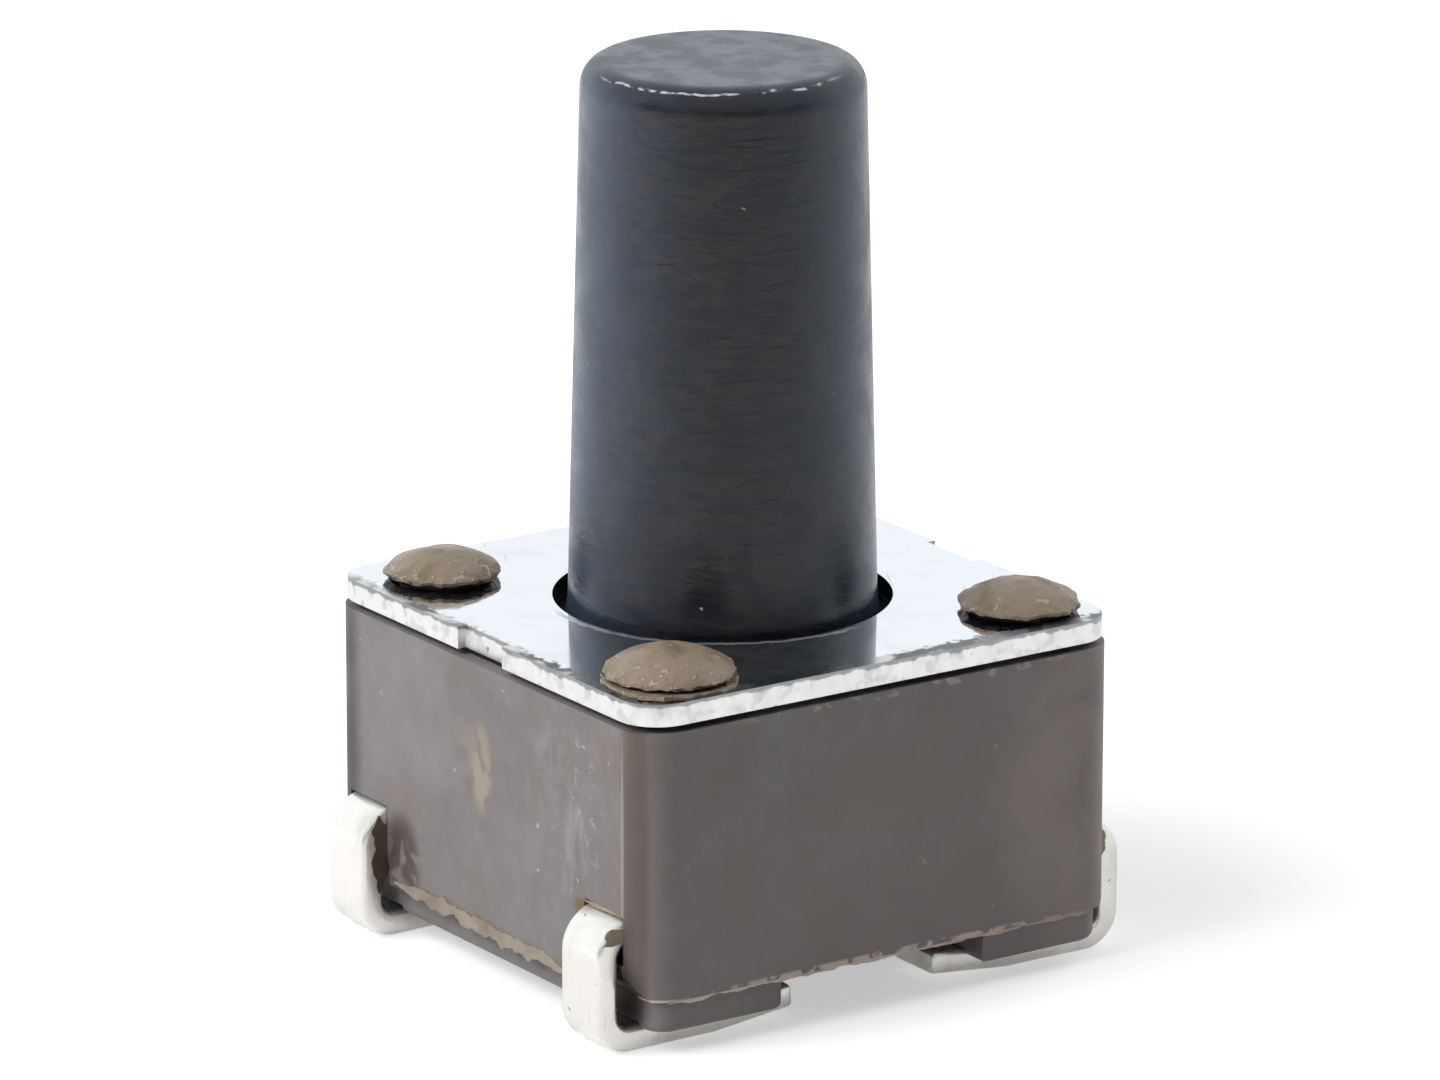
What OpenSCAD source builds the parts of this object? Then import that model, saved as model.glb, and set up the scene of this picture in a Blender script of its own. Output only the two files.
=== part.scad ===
// Surface-mount tactile push button: a moulded housing with heat-staked posts, a steel cover plate,
// a tall plunger, a snap dome and two stamped terminals that end in J-shaped leads.
// Millimetres, +Z up. The origin is the centre of the footprint, on the circuit board.
// The leads leave the two X faces, so the terminals run along X.

/* [Housing] */
// Side length of the square housing
body_w = 6.0; // [5.8:0.1:7]
// Radius of the housing's upright corners
body_corner_r = 0.45; // [0.3:0.05:0.7]
// Height of the housing's upper rim above the board
body_top_z = 3.47; // [3.2:0.01:4.5]
// Height of the mould's parting line above the board
parting_z = 0.6; // [0.5:0.02:0.9]
// Height of the two foot rails' underside above the board
rail_z = 0.24; // [0.2:0.01:0.3]
// How far the rails stand in from the housing's X sides
rail_inset_x = 0.16; // [0.1:0.01:0.2]
// How far the rails stand in from the housing's Y sides
rail_inset_y = 0.04; // [0.02:0.01:0.1]
// Radius of the rails' lower edges
rail_round = 0.12; // [0.05:0.01:0.18]
// Width of the channel between the rails
channel_w = 2.56; // [2:0.1:3]
// Radius of the hollow that lets each lead bend down past the housing's lower edge
relief_r = 0.45; // [0.3:0.05:0.6]
// Play beside a lead in its hollow and in its pocket under the rail
pocket_play = 0.05; // [0.03:0.01:0.1]
// Height of the cover's seat above the housing's rim
seat_rise = 0.07; // [0.02:0.01:0.1]
// Width of the step round the cover's seat
seat_step = 0.16; // [0.1:0.02:0.3]
// Thinnest wall between the round cavity and the housing's side
side_wall = 0.75; // [0.65:0.05:0.85]

/* [Staked posts] */
// Distance from the housing's side to the centre of a post
post_inset = 0.82; // [0.77:0.01:0.87]
// Diameter of the posts
post_d = 0.9; // [0.7:0.05:1]
// Diameter of the heads that the staking tool spreads
head_d = 1.28; // [1.2:0.02:1.36]
// Height of the heads above the cover
head_h = 0.33; // [0.25:0.01:0.4]
// Height of the lifted, thin edge of a head above the cover
head_lift = 0.07; // [0.03:0.01:0.1]
// Thickness of a head's edge
head_edge = 0.03; // [0.02:0.01:0.06]

/* [Cover plate] */
// Thickness of the sheet
plate_t = 0.24; // [0.15:0.01:0.3]
// How far the cover stands in from the housing's sides
plate_margin = 0.02; // [0:0.01:0.1]
// Radial play of the cover's holes round the posts
post_play = 0.05; // [0.02:0.01:0.08]
// How far the cover reaches in over the cavity's edge, above the plunger's flange
cover_lap = 0.46; // [0.35:0.01:0.5]
// Chamfer round the upper edge of the centre hole
hole_chamfer = 0.05; // [0.02:0.01:0.08]
// Length of the cut-off notch in the two X edges
notch_w = 0.84; // [0.5:0.02:1.2]
// Depth of the cut-off notch
notch_depth = 0.1; // [0.05:0.01:0.15]
// Sideways shift of the cut-off notch
notch_shift = 0.09; // [0:0.01:0.3]

/* [Plunger] */
// Height of the plunger's tip above the board
overall_h = 9.55; // [5:0.05:13]
// Draft angle of the stem
stem_draft = 1.45; // [0:0.05:1.8]
// Radius of the tip's edge
tip_round = 0.25; // [0.1:0.05:0.6]
// Radial play between the stem and the cover's hole, at the cover's upper face
stem_play = 0.16; // [0.12:0.01:0.25]
// Height of the flare at the foot of the stem
flare_h = 0.3; // [0.2:0.05:0.6]
// Width of the flare at the foot of the stem
flare_w = 0.1; // [0.05:0.01:0.12]
// Thickness of the flange that the cover holds down
flange_t = 0.5; // [0.3:0.05:0.7]
// Radial play of the flange in the cavity
flange_play = 0.15; // [0.08:0.01:0.18]
// Gap between the flange and the cover at rest
flange_gap = 0.03; // [0.01:0.01:0.06]
// Diameter of the boss that presses the dome
boss_d = 1.3; // [0.8:0.1:2]
// Chamfer round the end of the boss
boss_chamfer = 0.15; // [0.05:0.05:0.3]
// Gap between the boss and the dome at rest
boss_gap = 0.01; // [0.01:0.01:0.03]

/* [Snap dome] */
// Travel of the plunger from rest to contact
travel = 0.25; // [0.15:0.05:0.4]
// Thickness of the dome's sheet
dome_t = 0.06; // [0.05:0.01:0.1]
// Radial play of the dome in the cavity
dome_play = 0.25; // [0.1:0.05:0.4]

/* [Terminals] */
// Width of the strips and leads
lead_w = 0.7; // [0.5:0.05:0.8]
// Thickness of the strips and leads
lead_t = 0.25; // [0.15:0.01:0.3]
// Distance from the housing's side to the centre line of the leads beside it
lead_inset = 0.75; // [0.65:0.05:0.85]
// Height of the strips' underside, where they leave the housing
strip_z = 1.2; // [1:0.05:1.4]
// How far a lead stands out from the housing's side
lead_stand = 0.3; // [0.28:0.01:0.4]
// Inner radius of the bend at the top of a lead
shoulder_r = 0.2; // [0.1:0.01:0.24]
// Inner radius of the bend at the bottom of a lead
heel_r = 0.15; // [0.1:0.01:0.3]
// Gap between a lead's foot and the roof of its pocket in the rail
foot_gap = 0.08; // [0.06:0.01:0.12]
// How far a lead's tip reaches past the rail, into the channel
tip_reach = 0.41; // [0.1:0.01:0.6]
// Angle at which a lead's tip turns up
tip_angle = 6; // [4:1:10]
// Width of the tongue that carries the centre contact
tongue_w = 0.8; // [0.6:0.05:1]
// Diameter of the centre contact
button_d = 0.7; // [0.4:0.05:0.8]
// Width of the arms that carry the rim contacts
arm_w = 0.5; // [0.4:0.05:0.6]
// Diameter of the rim contacts
pad_d = 0.4; // [0.3:0.05:0.45]
// Angle of the rim contacts, seen from the centre and counted from the X axis
pad_angle = 40; // [35:1:45]
// Thickness of the moulding over the strips
floor_cover = 0.1; // [0.05:0.01:0.2]
// Height of the rim contacts above the cavity's floor
pad_rise = 0.03; // [0.02:0.01:0.04]
// Height of the centre contact above the cavity's floor
button_rise = 0.05; // [0.03:0.01:0.08]

/* [Hidden] */
$fn = 96;
HOUSING_BROWN = [0.47, 0.43, 0.41];
PLUNGER_BLACK = [0.22, 0.23, 0.26];
STEEL = [0.88, 0.9, 0.92];
DOME_STEEL = [0.78, 0.78, 0.76];
SILVER = [0.93, 0.92, 0.88];
// Depth by which fused forms run into each other
fuse = 0.2;
half_w = body_w / 2;
seat_z = body_top_z + seat_rise;
seat_w = body_w - 2 * seat_step;
plate_top_z = seat_z + plate_t;
plate_w = body_w - 2 * plate_margin;
cavity_r = half_w - side_wall;
hole_r = cavity_r - cover_lap;
post_xy = half_w - post_inset;
// Each head spread a little differently under the staking tool: side in X, side in Y, share of the
// named head sizes, and how far it moved off its post in X and Y
HEADS = [
    [-1, -1, 1.07, [0.03, -0.02]],
    [1, -1, 1, [0.06, -0.04]],
    [-1, 1, 0.96, [0.06, -0.04]],
    [1, 1, 1, [0.04, -0.03]],
];
head_steps = 8;
lead_y = half_w - lead_inset;
strip_top_z = strip_z + lead_t;
floor_z = strip_top_z + floor_cover;
relief_z = parting_z + sqrt(rail_inset_x * (2 * relief_r - rail_inset_x));
hollow_w = lead_w + 2 * pocket_play;
heel_z = heel_r + lead_t;
heel_x = half_w + lead_stand - heel_z;
shoulder_z = strip_z - shoulder_r;
shoulder_x = heel_x + heel_r - shoulder_r;
// The openings in the side walls start where the hollows under them end, or lower for a long bend
opening_z = min(shoulder_z, relief_z);
tip_x = channel_w / 2 - tip_reach;
// The tip starts to turn up where its upper face still clears the rail's inner edge by this much
tip_clear = 0.015;
tip_room = foot_gap - tip_clear - lead_t * (1 / cos(tip_angle) - 1);
tip_start_x = channel_w / 2 + tip_room / tan(tip_angle);
dome_r = cavity_r - dome_play;
rim_z = floor_z + pad_rise;
button_z = floor_z + button_rise;
dome_rise = button_z + travel - boss_gap - rim_z;
dome_in_r = (dome_r ^ 2 + dome_rise ^ 2) / (2 * dome_rise);
dome_top_z = rim_z + dome_rise + dome_t;
pad_x = dome_r * cos(pad_angle);
pad_y = dome_r * sin(pad_angle);
flange_r = cavity_r - flange_play;
flange_top_z = seat_z - flange_gap;
flange_z = flange_top_z - flange_t;
boss_z = dome_top_z + boss_gap;
flare_steps = 8;
tip_z = overall_h - tip_round;
tip_r = stem_r(tip_z) - tip_round / cos(stem_draft);

// Radius of the tapered stem at a height above the board
function stem_r(z) = hole_r - stem_play - (z - plate_top_z) * tan(stem_draft);

// Rectangle with round corners, centred, w long in X and d long in Y
module rounded_rect(w, d, r) {
    square([w - 2 * r, d], center = true);
    square([w, d - 2 * r], center = true);
    for (sx = [-1, 1], sy = [-1, 1])
        translate([sx * (w / 2 - r), sy * (d / 2 - r)]) circle(r);
}

// Part of a flat ring round the origin, between two angles
module ring_sector(r, t, a0, a1) {
    reach = 2 * (r + t);
    intersection() {
        difference() {
            circle(r + t);
            circle(r);
        }
        polygon(concat([[0, 0]], [for (a = [a0, (a0 + a1) / 2, a1]) reach * [cos(a), sin(a)]]));
    }
}

// Outline of one foot rail, seen along Y, on the +X side
module rail_outline() {
    x0 = channel_w / 2;
    x1 = half_w - rail_inset_x;
    top_z = parting_z + fuse;
    translate([x0, rail_z + rail_round]) square([x1 - x0, top_z - rail_z - rail_round]);
    translate([x0 + rail_round, rail_z]) square([x1 - x0 - 2 * rail_round, rail_round]);
    for (x = [x0 + rail_round, x1 - rail_round])
        translate([x, rail_z + rail_round]) circle(rail_round);
}

// Both foot rails, cut to the housing's rounded outline
module rails() {
    intersection() {
        translate([0, 0, rail_z])
            linear_extrude(parting_z + fuse - rail_z)
                rounded_rect(body_w - 2 * rail_inset_x, body_w - 2 * rail_inset_y,
                    body_corner_r - rail_inset_x);
        for (side = [0, 1])
            mirror([side, 0, 0])
                rotate([90, 0, 0]) linear_extrude(body_w, center = true) rail_outline();
    }
}

// Hollow beside the lead at the housing's lower edge, seen along Y, on the +X side
module relief_outline() {
    difference() {
        translate([half_w - rail_inset_x, parting_z - fuse])
            square([rail_inset_x + fuse, relief_z - parting_z + fuse]);
        translate([half_w - relief_r, relief_z]) circle(relief_r);
    }
}

// Room for the leads: the openings in the side walls, the hollows at the lower edges and the pockets
// under the rails
module lead_room() {
    inner_y = lead_y - hollow_w / 2;
    for (side = [0, 1], end = [0, 1])
        mirror([side, 0, 0]) mirror([0, end, 0]) {
            translate([0, half_w + fuse, 0])
                rotate([90, 0, 0]) linear_extrude(half_w + fuse - inner_y) relief_outline();
            translate([0, inner_y, 0]) cube([half_w, hollow_w, lead_t + foot_gap]);
            translate([shoulder_x, lead_y - lead_w / 2, opening_z])
                cube([half_w + fuse - shoulder_x, lead_w, strip_top_z - opening_z]);
        }
}

// Head that staking formed on a post: a lifted thin edge and a shallow crown
module staked_head(spread) {
    r = spread * head_d / 2;
    seat_r = post_d / 2 + post_play;
    crown_z = head_lift + head_edge;
    crown_h = spread * head_h - crown_z;
    crown = [for (i = [0 : head_steps]) let (q = 1 - i / head_steps)
        [r * q, crown_z + crown_h * (1 - q ^ 2)]];
    rotate_extrude()
        polygon(concat([[0, 0], [min(seat_r + head_lift, r), 0], [r, head_lift]], crown));
}

// The four posts, each with its own head
module staked_posts() {
    for (h = HEADS)
        translate([h[0] * post_xy, h[1] * post_xy, 0]) {
            translate([0, 0, seat_z - fuse]) cylinder(h = plate_t + fuse, d = post_d);
            translate([h[3][0], h[3][1], plate_top_z]) staked_head(h[2]);
        }
}

// Moulded housing: rails, block, cover seat, cavity and staked posts, moulded round the terminals
module housing() {
    color(HOUSING_BROWN)
        difference() {
            union() {
                translate([0, 0, parting_z])
                    linear_extrude(body_top_z - parting_z) rounded_rect(body_w, body_w, body_corner_r);
                translate([0, 0, body_top_z - fuse])
                    linear_extrude(seat_rise + fuse)
                        rounded_rect(seat_w, seat_w, body_corner_r - seat_step);
                rails();
                staked_posts();
            }
            translate([0, 0, floor_z]) cylinder(h = seat_z, r = cavity_r);
            lead_room();
            strip(-lead_y);
            centre_tongue();
            strip(lead_y);
            rim_arms();
        }
}

// Cut-off notches in the two X edges, where the sheet hung in its stamping strip
module edge_notches() {
    for (side = [-1, 1])
        translate([side * plate_w / 2, -side * notch_shift, seat_z + plate_t / 2])
            cube([2 * notch_depth, notch_w, 2 * plate_t], center = true);
}

// Flat steel cover that the staked heads hold down
module cover_plate() {
    color(STEEL)
        difference() {
            translate([0, 0, seat_z])
                linear_extrude(plate_t) rounded_rect(plate_w, plate_w, body_corner_r);
            translate([0, 0, seat_z - plate_t]) cylinder(h = 3 * plate_t, r = hole_r);
            translate([0, 0, plate_top_z - hole_chamfer])
                cylinder(h = 2 * hole_chamfer, r1 = hole_r, r2 = hole_r + 2 * hole_chamfer);
            for (sx = [-1, 1], sy = [-1, 1])
                translate([sx * post_xy, sy * post_xy, seat_z - plate_t])
                    cylinder(h = 3 * plate_t, r = post_d / 2 + post_play);
            edge_notches();
        }
}

// Outline of the plunger, from its axis outwards: boss, flange, flared stem and rounded tip
module plunger_outline() {
    foot_r = stem_r(flange_top_z + flare_h);
    flare = [for (i = [0 : flare_steps]) let (a = 90 * i / flare_steps)
        [foot_r + flare_w * (1 - sin(a)), flange_top_z + flare_h * (1 - cos(a))]];
    polygon(concat(
        [[0, boss_z], [boss_d / 2 - boss_chamfer, boss_z], [boss_d / 2, boss_z + boss_chamfer]],
        [[boss_d / 2, flange_z], [flange_r, flange_z], [flange_r, flange_top_z]],
        flare,
        [[tip_r + tip_round * cos(stem_draft), tip_z + tip_round * sin(stem_draft)]],
        [[tip_r, overall_h], [0, overall_h]]));
    translate([tip_r, tip_z]) circle(tip_round);
}

// Tall moulded plunger, held under the cover by its flange
module plunger() {
    color(PLUNGER_BLACK) rotate_extrude() plunger_outline();
}

// Snap dome: a thin spherical cap that stands on the four rim contacts
module contact_dome() {
    centre_z = rim_z + dome_rise - dome_in_r;
    color(DOME_STEEL)
        intersection() {
            translate([0, 0, centre_z])
                difference() {
                    sphere(dome_in_r + dome_t);
                    sphere(dome_in_r);
                }
            translate([0, 0, rim_z]) cylinder(h = dome_rise + 2 * dome_t, r = dome_r);
        }
}

// Flat strip of a terminal, between its two leads
module strip(y) {
    translate([-shoulder_x, y - lead_w / 2, strip_z]) cube([2 * shoulder_x, lead_w, lead_t]);
}

// Outline of one J-shaped lead, seen along Y, on the +X side: shoulder, leg, heel, foot and tip
module lead_outline() {
    translate([shoulder_x, shoulder_z]) ring_sector(shoulder_r, lead_t, 0, 90);
    translate([heel_x, heel_z]) {
        translate([heel_r, 0]) square([lead_t, shoulder_z - heel_z]);
        ring_sector(heel_r, lead_t, -90, 0);
    }
    translate([heel_x, 0]) mirror([1, 0]) square([heel_x - tip_start_x, lead_t]);
    translate([tip_start_x, 0])
        rotate(-tip_angle)
            translate([(tip_x - tip_start_x) / cos(tip_angle), 0])
                square([(tip_start_x - tip_x) / cos(tip_angle), lead_t]);
}

// Both J-shaped leads of a terminal
module leads(y) {
    for (side = [0, 1])
        mirror([side, 0, 0])
            translate([0, y, 0])
                rotate([90, 0, 0]) linear_extrude(lead_w, center = true) lead_outline();
}

// Tongue from the front strip to the middle of the cavity, with the centre contact on its end
module centre_tongue() {
    translate([-tongue_w / 2, -lead_y, strip_z]) cube([tongue_w, lead_y, lead_t]);
    translate([0, 0, strip_z]) cylinder(h = lead_t, d = tongue_w);
    translate([0, 0, strip_z]) cylinder(h = button_z - strip_z, d = button_d);
}

// Two arms from the rear strip to both sides of the cavity, each with two rim contacts
module rim_arms() {
    for (sx = [-1, 1])
        translate([sx * pad_x, 0, strip_z]) {
            translate([-arm_w / 2, -pad_y, 0]) cube([arm_w, pad_y + lead_y, lead_t]);
            translate([0, -pad_y, 0]) cylinder(h = lead_t, d = arm_w);
            for (sy = [-1, 1])
                translate([0, sy * pad_y, 0]) cylinder(h = rim_z - strip_z, d = pad_d);
        }
}

// Terminal on the -Y side, with the centre contact
module terminal_front() {
    color(SILVER) {
        strip(-lead_y);
        leads(-lead_y);
        centre_tongue();
    }
}

// Terminal on the +Y side, with the rim contacts
module terminal_rear() {
    color(SILVER) {
        strip(lead_y);
        leads(lead_y);
        rim_arms();
    }
}

housing();
cover_plate();
plunger();
contact_dome();
terminal_front();
terminal_rear();
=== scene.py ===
import logging
import math
from collections.abc import Callable, Iterator, Sequence
from contextlib import contextmanager
from dataclasses import dataclass
from enum import Enum

import bmesh
import bpy
from bpy.types import Material, Node, NodeSocket, NodeTree, Object
from mathutils import Matrix, Vector


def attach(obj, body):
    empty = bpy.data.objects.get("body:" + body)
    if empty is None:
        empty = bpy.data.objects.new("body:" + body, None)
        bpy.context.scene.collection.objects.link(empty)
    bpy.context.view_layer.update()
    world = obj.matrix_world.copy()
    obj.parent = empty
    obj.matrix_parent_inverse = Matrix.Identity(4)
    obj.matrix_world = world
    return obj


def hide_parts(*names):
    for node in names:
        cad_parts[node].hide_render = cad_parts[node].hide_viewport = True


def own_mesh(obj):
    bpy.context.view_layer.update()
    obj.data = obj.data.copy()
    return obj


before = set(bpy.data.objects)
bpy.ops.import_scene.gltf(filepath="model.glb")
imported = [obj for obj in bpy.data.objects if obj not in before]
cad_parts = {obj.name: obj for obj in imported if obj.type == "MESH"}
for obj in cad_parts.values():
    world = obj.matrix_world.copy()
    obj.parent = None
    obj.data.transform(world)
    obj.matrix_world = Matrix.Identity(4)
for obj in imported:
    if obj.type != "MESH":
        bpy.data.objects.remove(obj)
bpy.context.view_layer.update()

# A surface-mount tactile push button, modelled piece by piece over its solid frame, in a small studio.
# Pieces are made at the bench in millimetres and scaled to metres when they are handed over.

MM = 0.001
LOG = logging.getLogger("push_button")

Point = tuple[float, float, float]
Colour = tuple[float, float, float]
Value = NodeSocket | float | tuple
Sockets = dict[str, NodeSocket]
Surface = tuple[Value, Value, Value]
Test = Callable[[Vector, Vector], bool]


class Body(Enum):
    """The two bodies that the pieces ride on."""

    HOUSING = "housing"
    PLUNGER = "plunger"


class Pick(Enum):
    """What an edit selects."""

    VERT = "VERT"
    EDGE = "EDGE"
    FACE = "FACE"


class Side(Enum):
    """The two sides of the housing that the terminals run along, as the sign of Y."""

    FRONT = -1
    REAR = 1


# Bench


def deselect() -> None:
    """Leave edit mode and deselect every object."""
    if bpy.context.object is not None and bpy.context.object.mode != "OBJECT":
        bpy.ops.object.mode_set(mode="OBJECT")
    bpy.ops.object.select_all(action="DESELECT")


def activate(piece: Object, *others: Object) -> None:
    """Select pieces and make the first one active.

    Args:
        piece: The piece that operators act on.
        others: Pieces that are selected with it.
    """
    deselect()
    for item in (piece, *others):
        item.select_set(True)
    bpy.context.view_layer.objects.active = piece


@contextmanager
def editing(piece: Object) -> Iterator[None]:
    """Open a piece in edit mode with nothing selected, and close it again.

    Args:
        piece: The piece to edit.
    """
    activate(piece)
    bpy.ops.object.mode_set(mode="EDIT")
    bpy.ops.mesh.select_all(action="DESELECT")
    yield
    bpy.ops.object.mode_set(mode="OBJECT")


def pick(piece: Object, kind: Pick, test: Test) -> None:
    """Select the parts of a mesh in edit mode that a test names.

    Args:
        piece: The piece in edit mode.
        kind: Vertices, edges or faces.
        test: Takes a part's middle and its normal, or an edge's direction, and says whether it is meant.
    """
    bpy.ops.mesh.select_mode(type=kind.value)
    bpy.ops.mesh.select_all(action="DESELECT")
    mesh = bmesh.from_edit_mesh(piece.data)
    if kind is Pick.VERT:
        for vert in mesh.verts:
            vert.select_set(test(vert.co, vert.normal))
    elif kind is Pick.EDGE:
        for edge in mesh.edges:
            a, b = (vert.co for vert in edge.verts)
            edge.select_set(test((a + b) / 2, (b - a).normalized()))
    else:
        for face in mesh.faces:
            face.select_set(test(face.calc_center_median(), face.normal))
    mesh.select_flush_mode()
    bmesh.update_edit_mesh(piece.data)


def primitive(name: str, add: Callable[..., set], stretch: Point = (1, 1, 1), **settings: object) -> Object:
    """Add a primitive and apply its place, so that its mesh lies where it stands.

    Args:
        name: The piece's name.
        add: The operator that adds it.
        stretch: Scale along its own axes.
        settings: What the operator is given.

    Returns:
        The new object, at the origin.
    """
    deselect()
    add(**settings)
    piece = bpy.context.active_object
    piece.name = name
    piece.scale = stretch
    bpy.ops.object.transform_apply(location=True, rotation=True, scale=True)
    return piece


def block(name: str, low: Point, high: Point) -> Object:
    """Add a square-edged block between two corners, in millimetres.

    Args:
        name: The piece's name.
        low: Its lowest corner.
        high: Its highest corner.

    Returns:
        The block.
    """
    middle = [(a + b) / 2 for a, b in zip(low, high)]
    size = tuple(b - a for a, b in zip(low, high))
    return primitive(name, bpy.ops.mesh.primitive_cube_add, size, size=1, location=middle)


def rod(name: str, radius: float, low: float, high: float, at: tuple[float, float] = (0, 0), sides: int = 96) -> Object:
    """Add an upright rod between two heights, in millimetres."""
    return primitive(name, bpy.ops.mesh.primitive_cylinder_add, vertices=sides, radius=radius, depth=high - low,
                     location=(*at, (low + high) / 2))


def turned(name: str, profile: Sequence[tuple[float, float]], sides: int) -> Object:
    """Turn a closed round piece: a disc, extruded and resized ring by ring.

    Args:
        name: The piece's name.
        profile: Radius and height of each ring, from the first end to the last, which closes in a point.
        sides: How many sides it has.

    Returns:
        The piece, on the Z axis.
    """
    (radius, height), *rings = profile
    piece = primitive(name, bpy.ops.mesh.primitive_circle_add, vertices=sides, radius=radius, fill_type="TRIFAN",
                      location=(0, 0, height))
    with editing(piece):
        pick(piece, Pick.EDGE, lambda place, _: place.xy.length > 0.7 * radius)
        for next_radius, next_height in rings:
            bpy.ops.mesh.extrude_region_move(TRANSFORM_OT_translate={"value": (0, 0, next_height - height)})
            grow = next_radius / radius
            bpy.ops.transform.resize(value=(grow, grow, 1), center_override=(0, 0, next_height))
            radius, height = next_radius, next_height
        bpy.ops.mesh.merge(type="CENTER")
        face_outwards()
    return piece


def face_outwards() -> None:
    """Turn all faces of the piece in edit mode outwards."""
    bpy.ops.mesh.select_all(action="SELECT")
    bpy.ops.mesh.normals_make_consistent(inside=False)


def shape(piece: Object, kind: str, **settings: object) -> None:
    """Add a modifier and apply it.

    Args:
        piece: The piece that it shapes.
        kind: The modifier's type.
        settings: Its settings.
    """
    modifier = piece.modifiers.new(kind.title(), kind)
    for key, value in settings.items():
        setattr(modifier, key, value)
    activate(piece)
    bpy.ops.object.modifier_apply(modifier=modifier.name)


def soften(piece: Object, width: float, segments: int, angle: float) -> None:
    """Bevel the edges that are sharper than an angle in degrees."""
    shape(piece, "BEVEL", width=width, segments=segments, limit_method="ANGLE", angle_limit=math.radians(angle))


def combine(piece: Object, tools: Sequence[Object], operation: str = "DIFFERENCE") -> None:
    """Cut tools out of a piece, or fuse them to it, and clear the tools away.

    Args:
        piece: The piece that stays.
        tools: The pieces that are used up.
        operation: DIFFERENCE or UNION.
    """
    for tool in tools:
        shape(piece, "BOOLEAN", object=tool, operation=operation, solver="EXACT")
        bpy.data.objects.remove(tool)


def join(pieces: Sequence[Object]) -> Object:
    """Join pieces into the first one.

    Args:
        pieces: The pieces, each closed in itself.

    Returns:
        The first piece, with all of their meshes.
    """
    activate(*pieces)
    bpy.ops.object.join()
    return pieces[0]


def repeated(piece: Object, name: str, place: Matrix) -> Object:
    """Copy a piece with a mesh of its own, and put the copy in its place.

    Args:
        piece: The piece to copy.
        name: The copy's name.
        place: Where the copy goes, from where the piece is.

    Returns:
        The copy.
    """
    copy = piece.copy()
    copy.data = piece.data.copy()
    copy.name = name
    bpy.context.collection.objects.link(copy)
    copy.data.transform(place)
    return copy


def roughen(piece: Object, group: str, size: float, strength: float, direction: str, depth: int = 4) -> None:
    """Displace a vertex group by a solid noise, in millimetres.

    Args:
        piece: The piece.
        group: The vertex group.
        size: Size of the noise's features.
        strength: Height from the deepest to the highest place.
        direction: The axis along which points move.
        depth: Octaves of the noise.
    """
    texture = bpy.data.textures.new(f"{piece.name}_{direction.lower()}", "CLOUDS")
    texture.noise_scale, texture.noise_depth = size, depth
    shape(piece, "DISPLACE", texture=texture, strength=strength, mid_level=0.5, direction=direction,
          vertex_group=group, texture_coords="LOCAL")


def weigh(piece: Object, group: str, weight: Callable[[Vector], float]) -> None:
    """Make a vertex group whose weight depends on the place.

    Args:
        piece: The piece.
        group: The group's name.
        weight: Takes a point and gives its weight, from 0 to 1.
    """
    made = piece.vertex_groups.new(name=group)
    for vert in piece.data.vertices:
        value = max(0.0, min(1.0, weight(vert.co)))
        if value > 0:
            made.add([vert.index], value, "REPLACE")


def hand_over(piece: Object, body: Body, finish: Sequence[Material], node: str = "",
              smooth: float = 32.0, flat: bool = False) -> Object:
    """Bring a piece from the bench to the model: metres, clean shading, finish and body.

    Args:
        piece: The piece, in millimetres.
        body: The body that it rides on.
        finish: Its materials.
        node: The solid that it stands for, if it stands for one.
        smooth: The angle in degrees from which an edge stays sharp.
        flat: Whether large flat faces keep their own normals.

    Returns:
        The piece, in metres.
    """
    with editing(piece):
        bpy.ops.mesh.select_all(action="SELECT")
        bpy.ops.mesh.remove_doubles(threshold=1e-5)
    piece.scale = (MM, MM, MM)
    activate(piece)
    bpy.ops.object.transform_apply(location=False, rotation=False, scale=True)
    bpy.ops.object.shade_smooth_by_angle(angle=math.radians(smooth))
    if flat:
        shape(piece, "WEIGHTED_NORMAL", keep_sharp=True, weight=100)
    for material in finish:
        piece.data.materials.append(material)
    piece.vertex_groups.clear()
    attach(piece, body.value)
    if node:
        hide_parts(node)
    LOG.info("%s: %d faces, rides on %s", piece.name, len(piece.data.polygons), body.value)
    return piece


# Finishes


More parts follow.
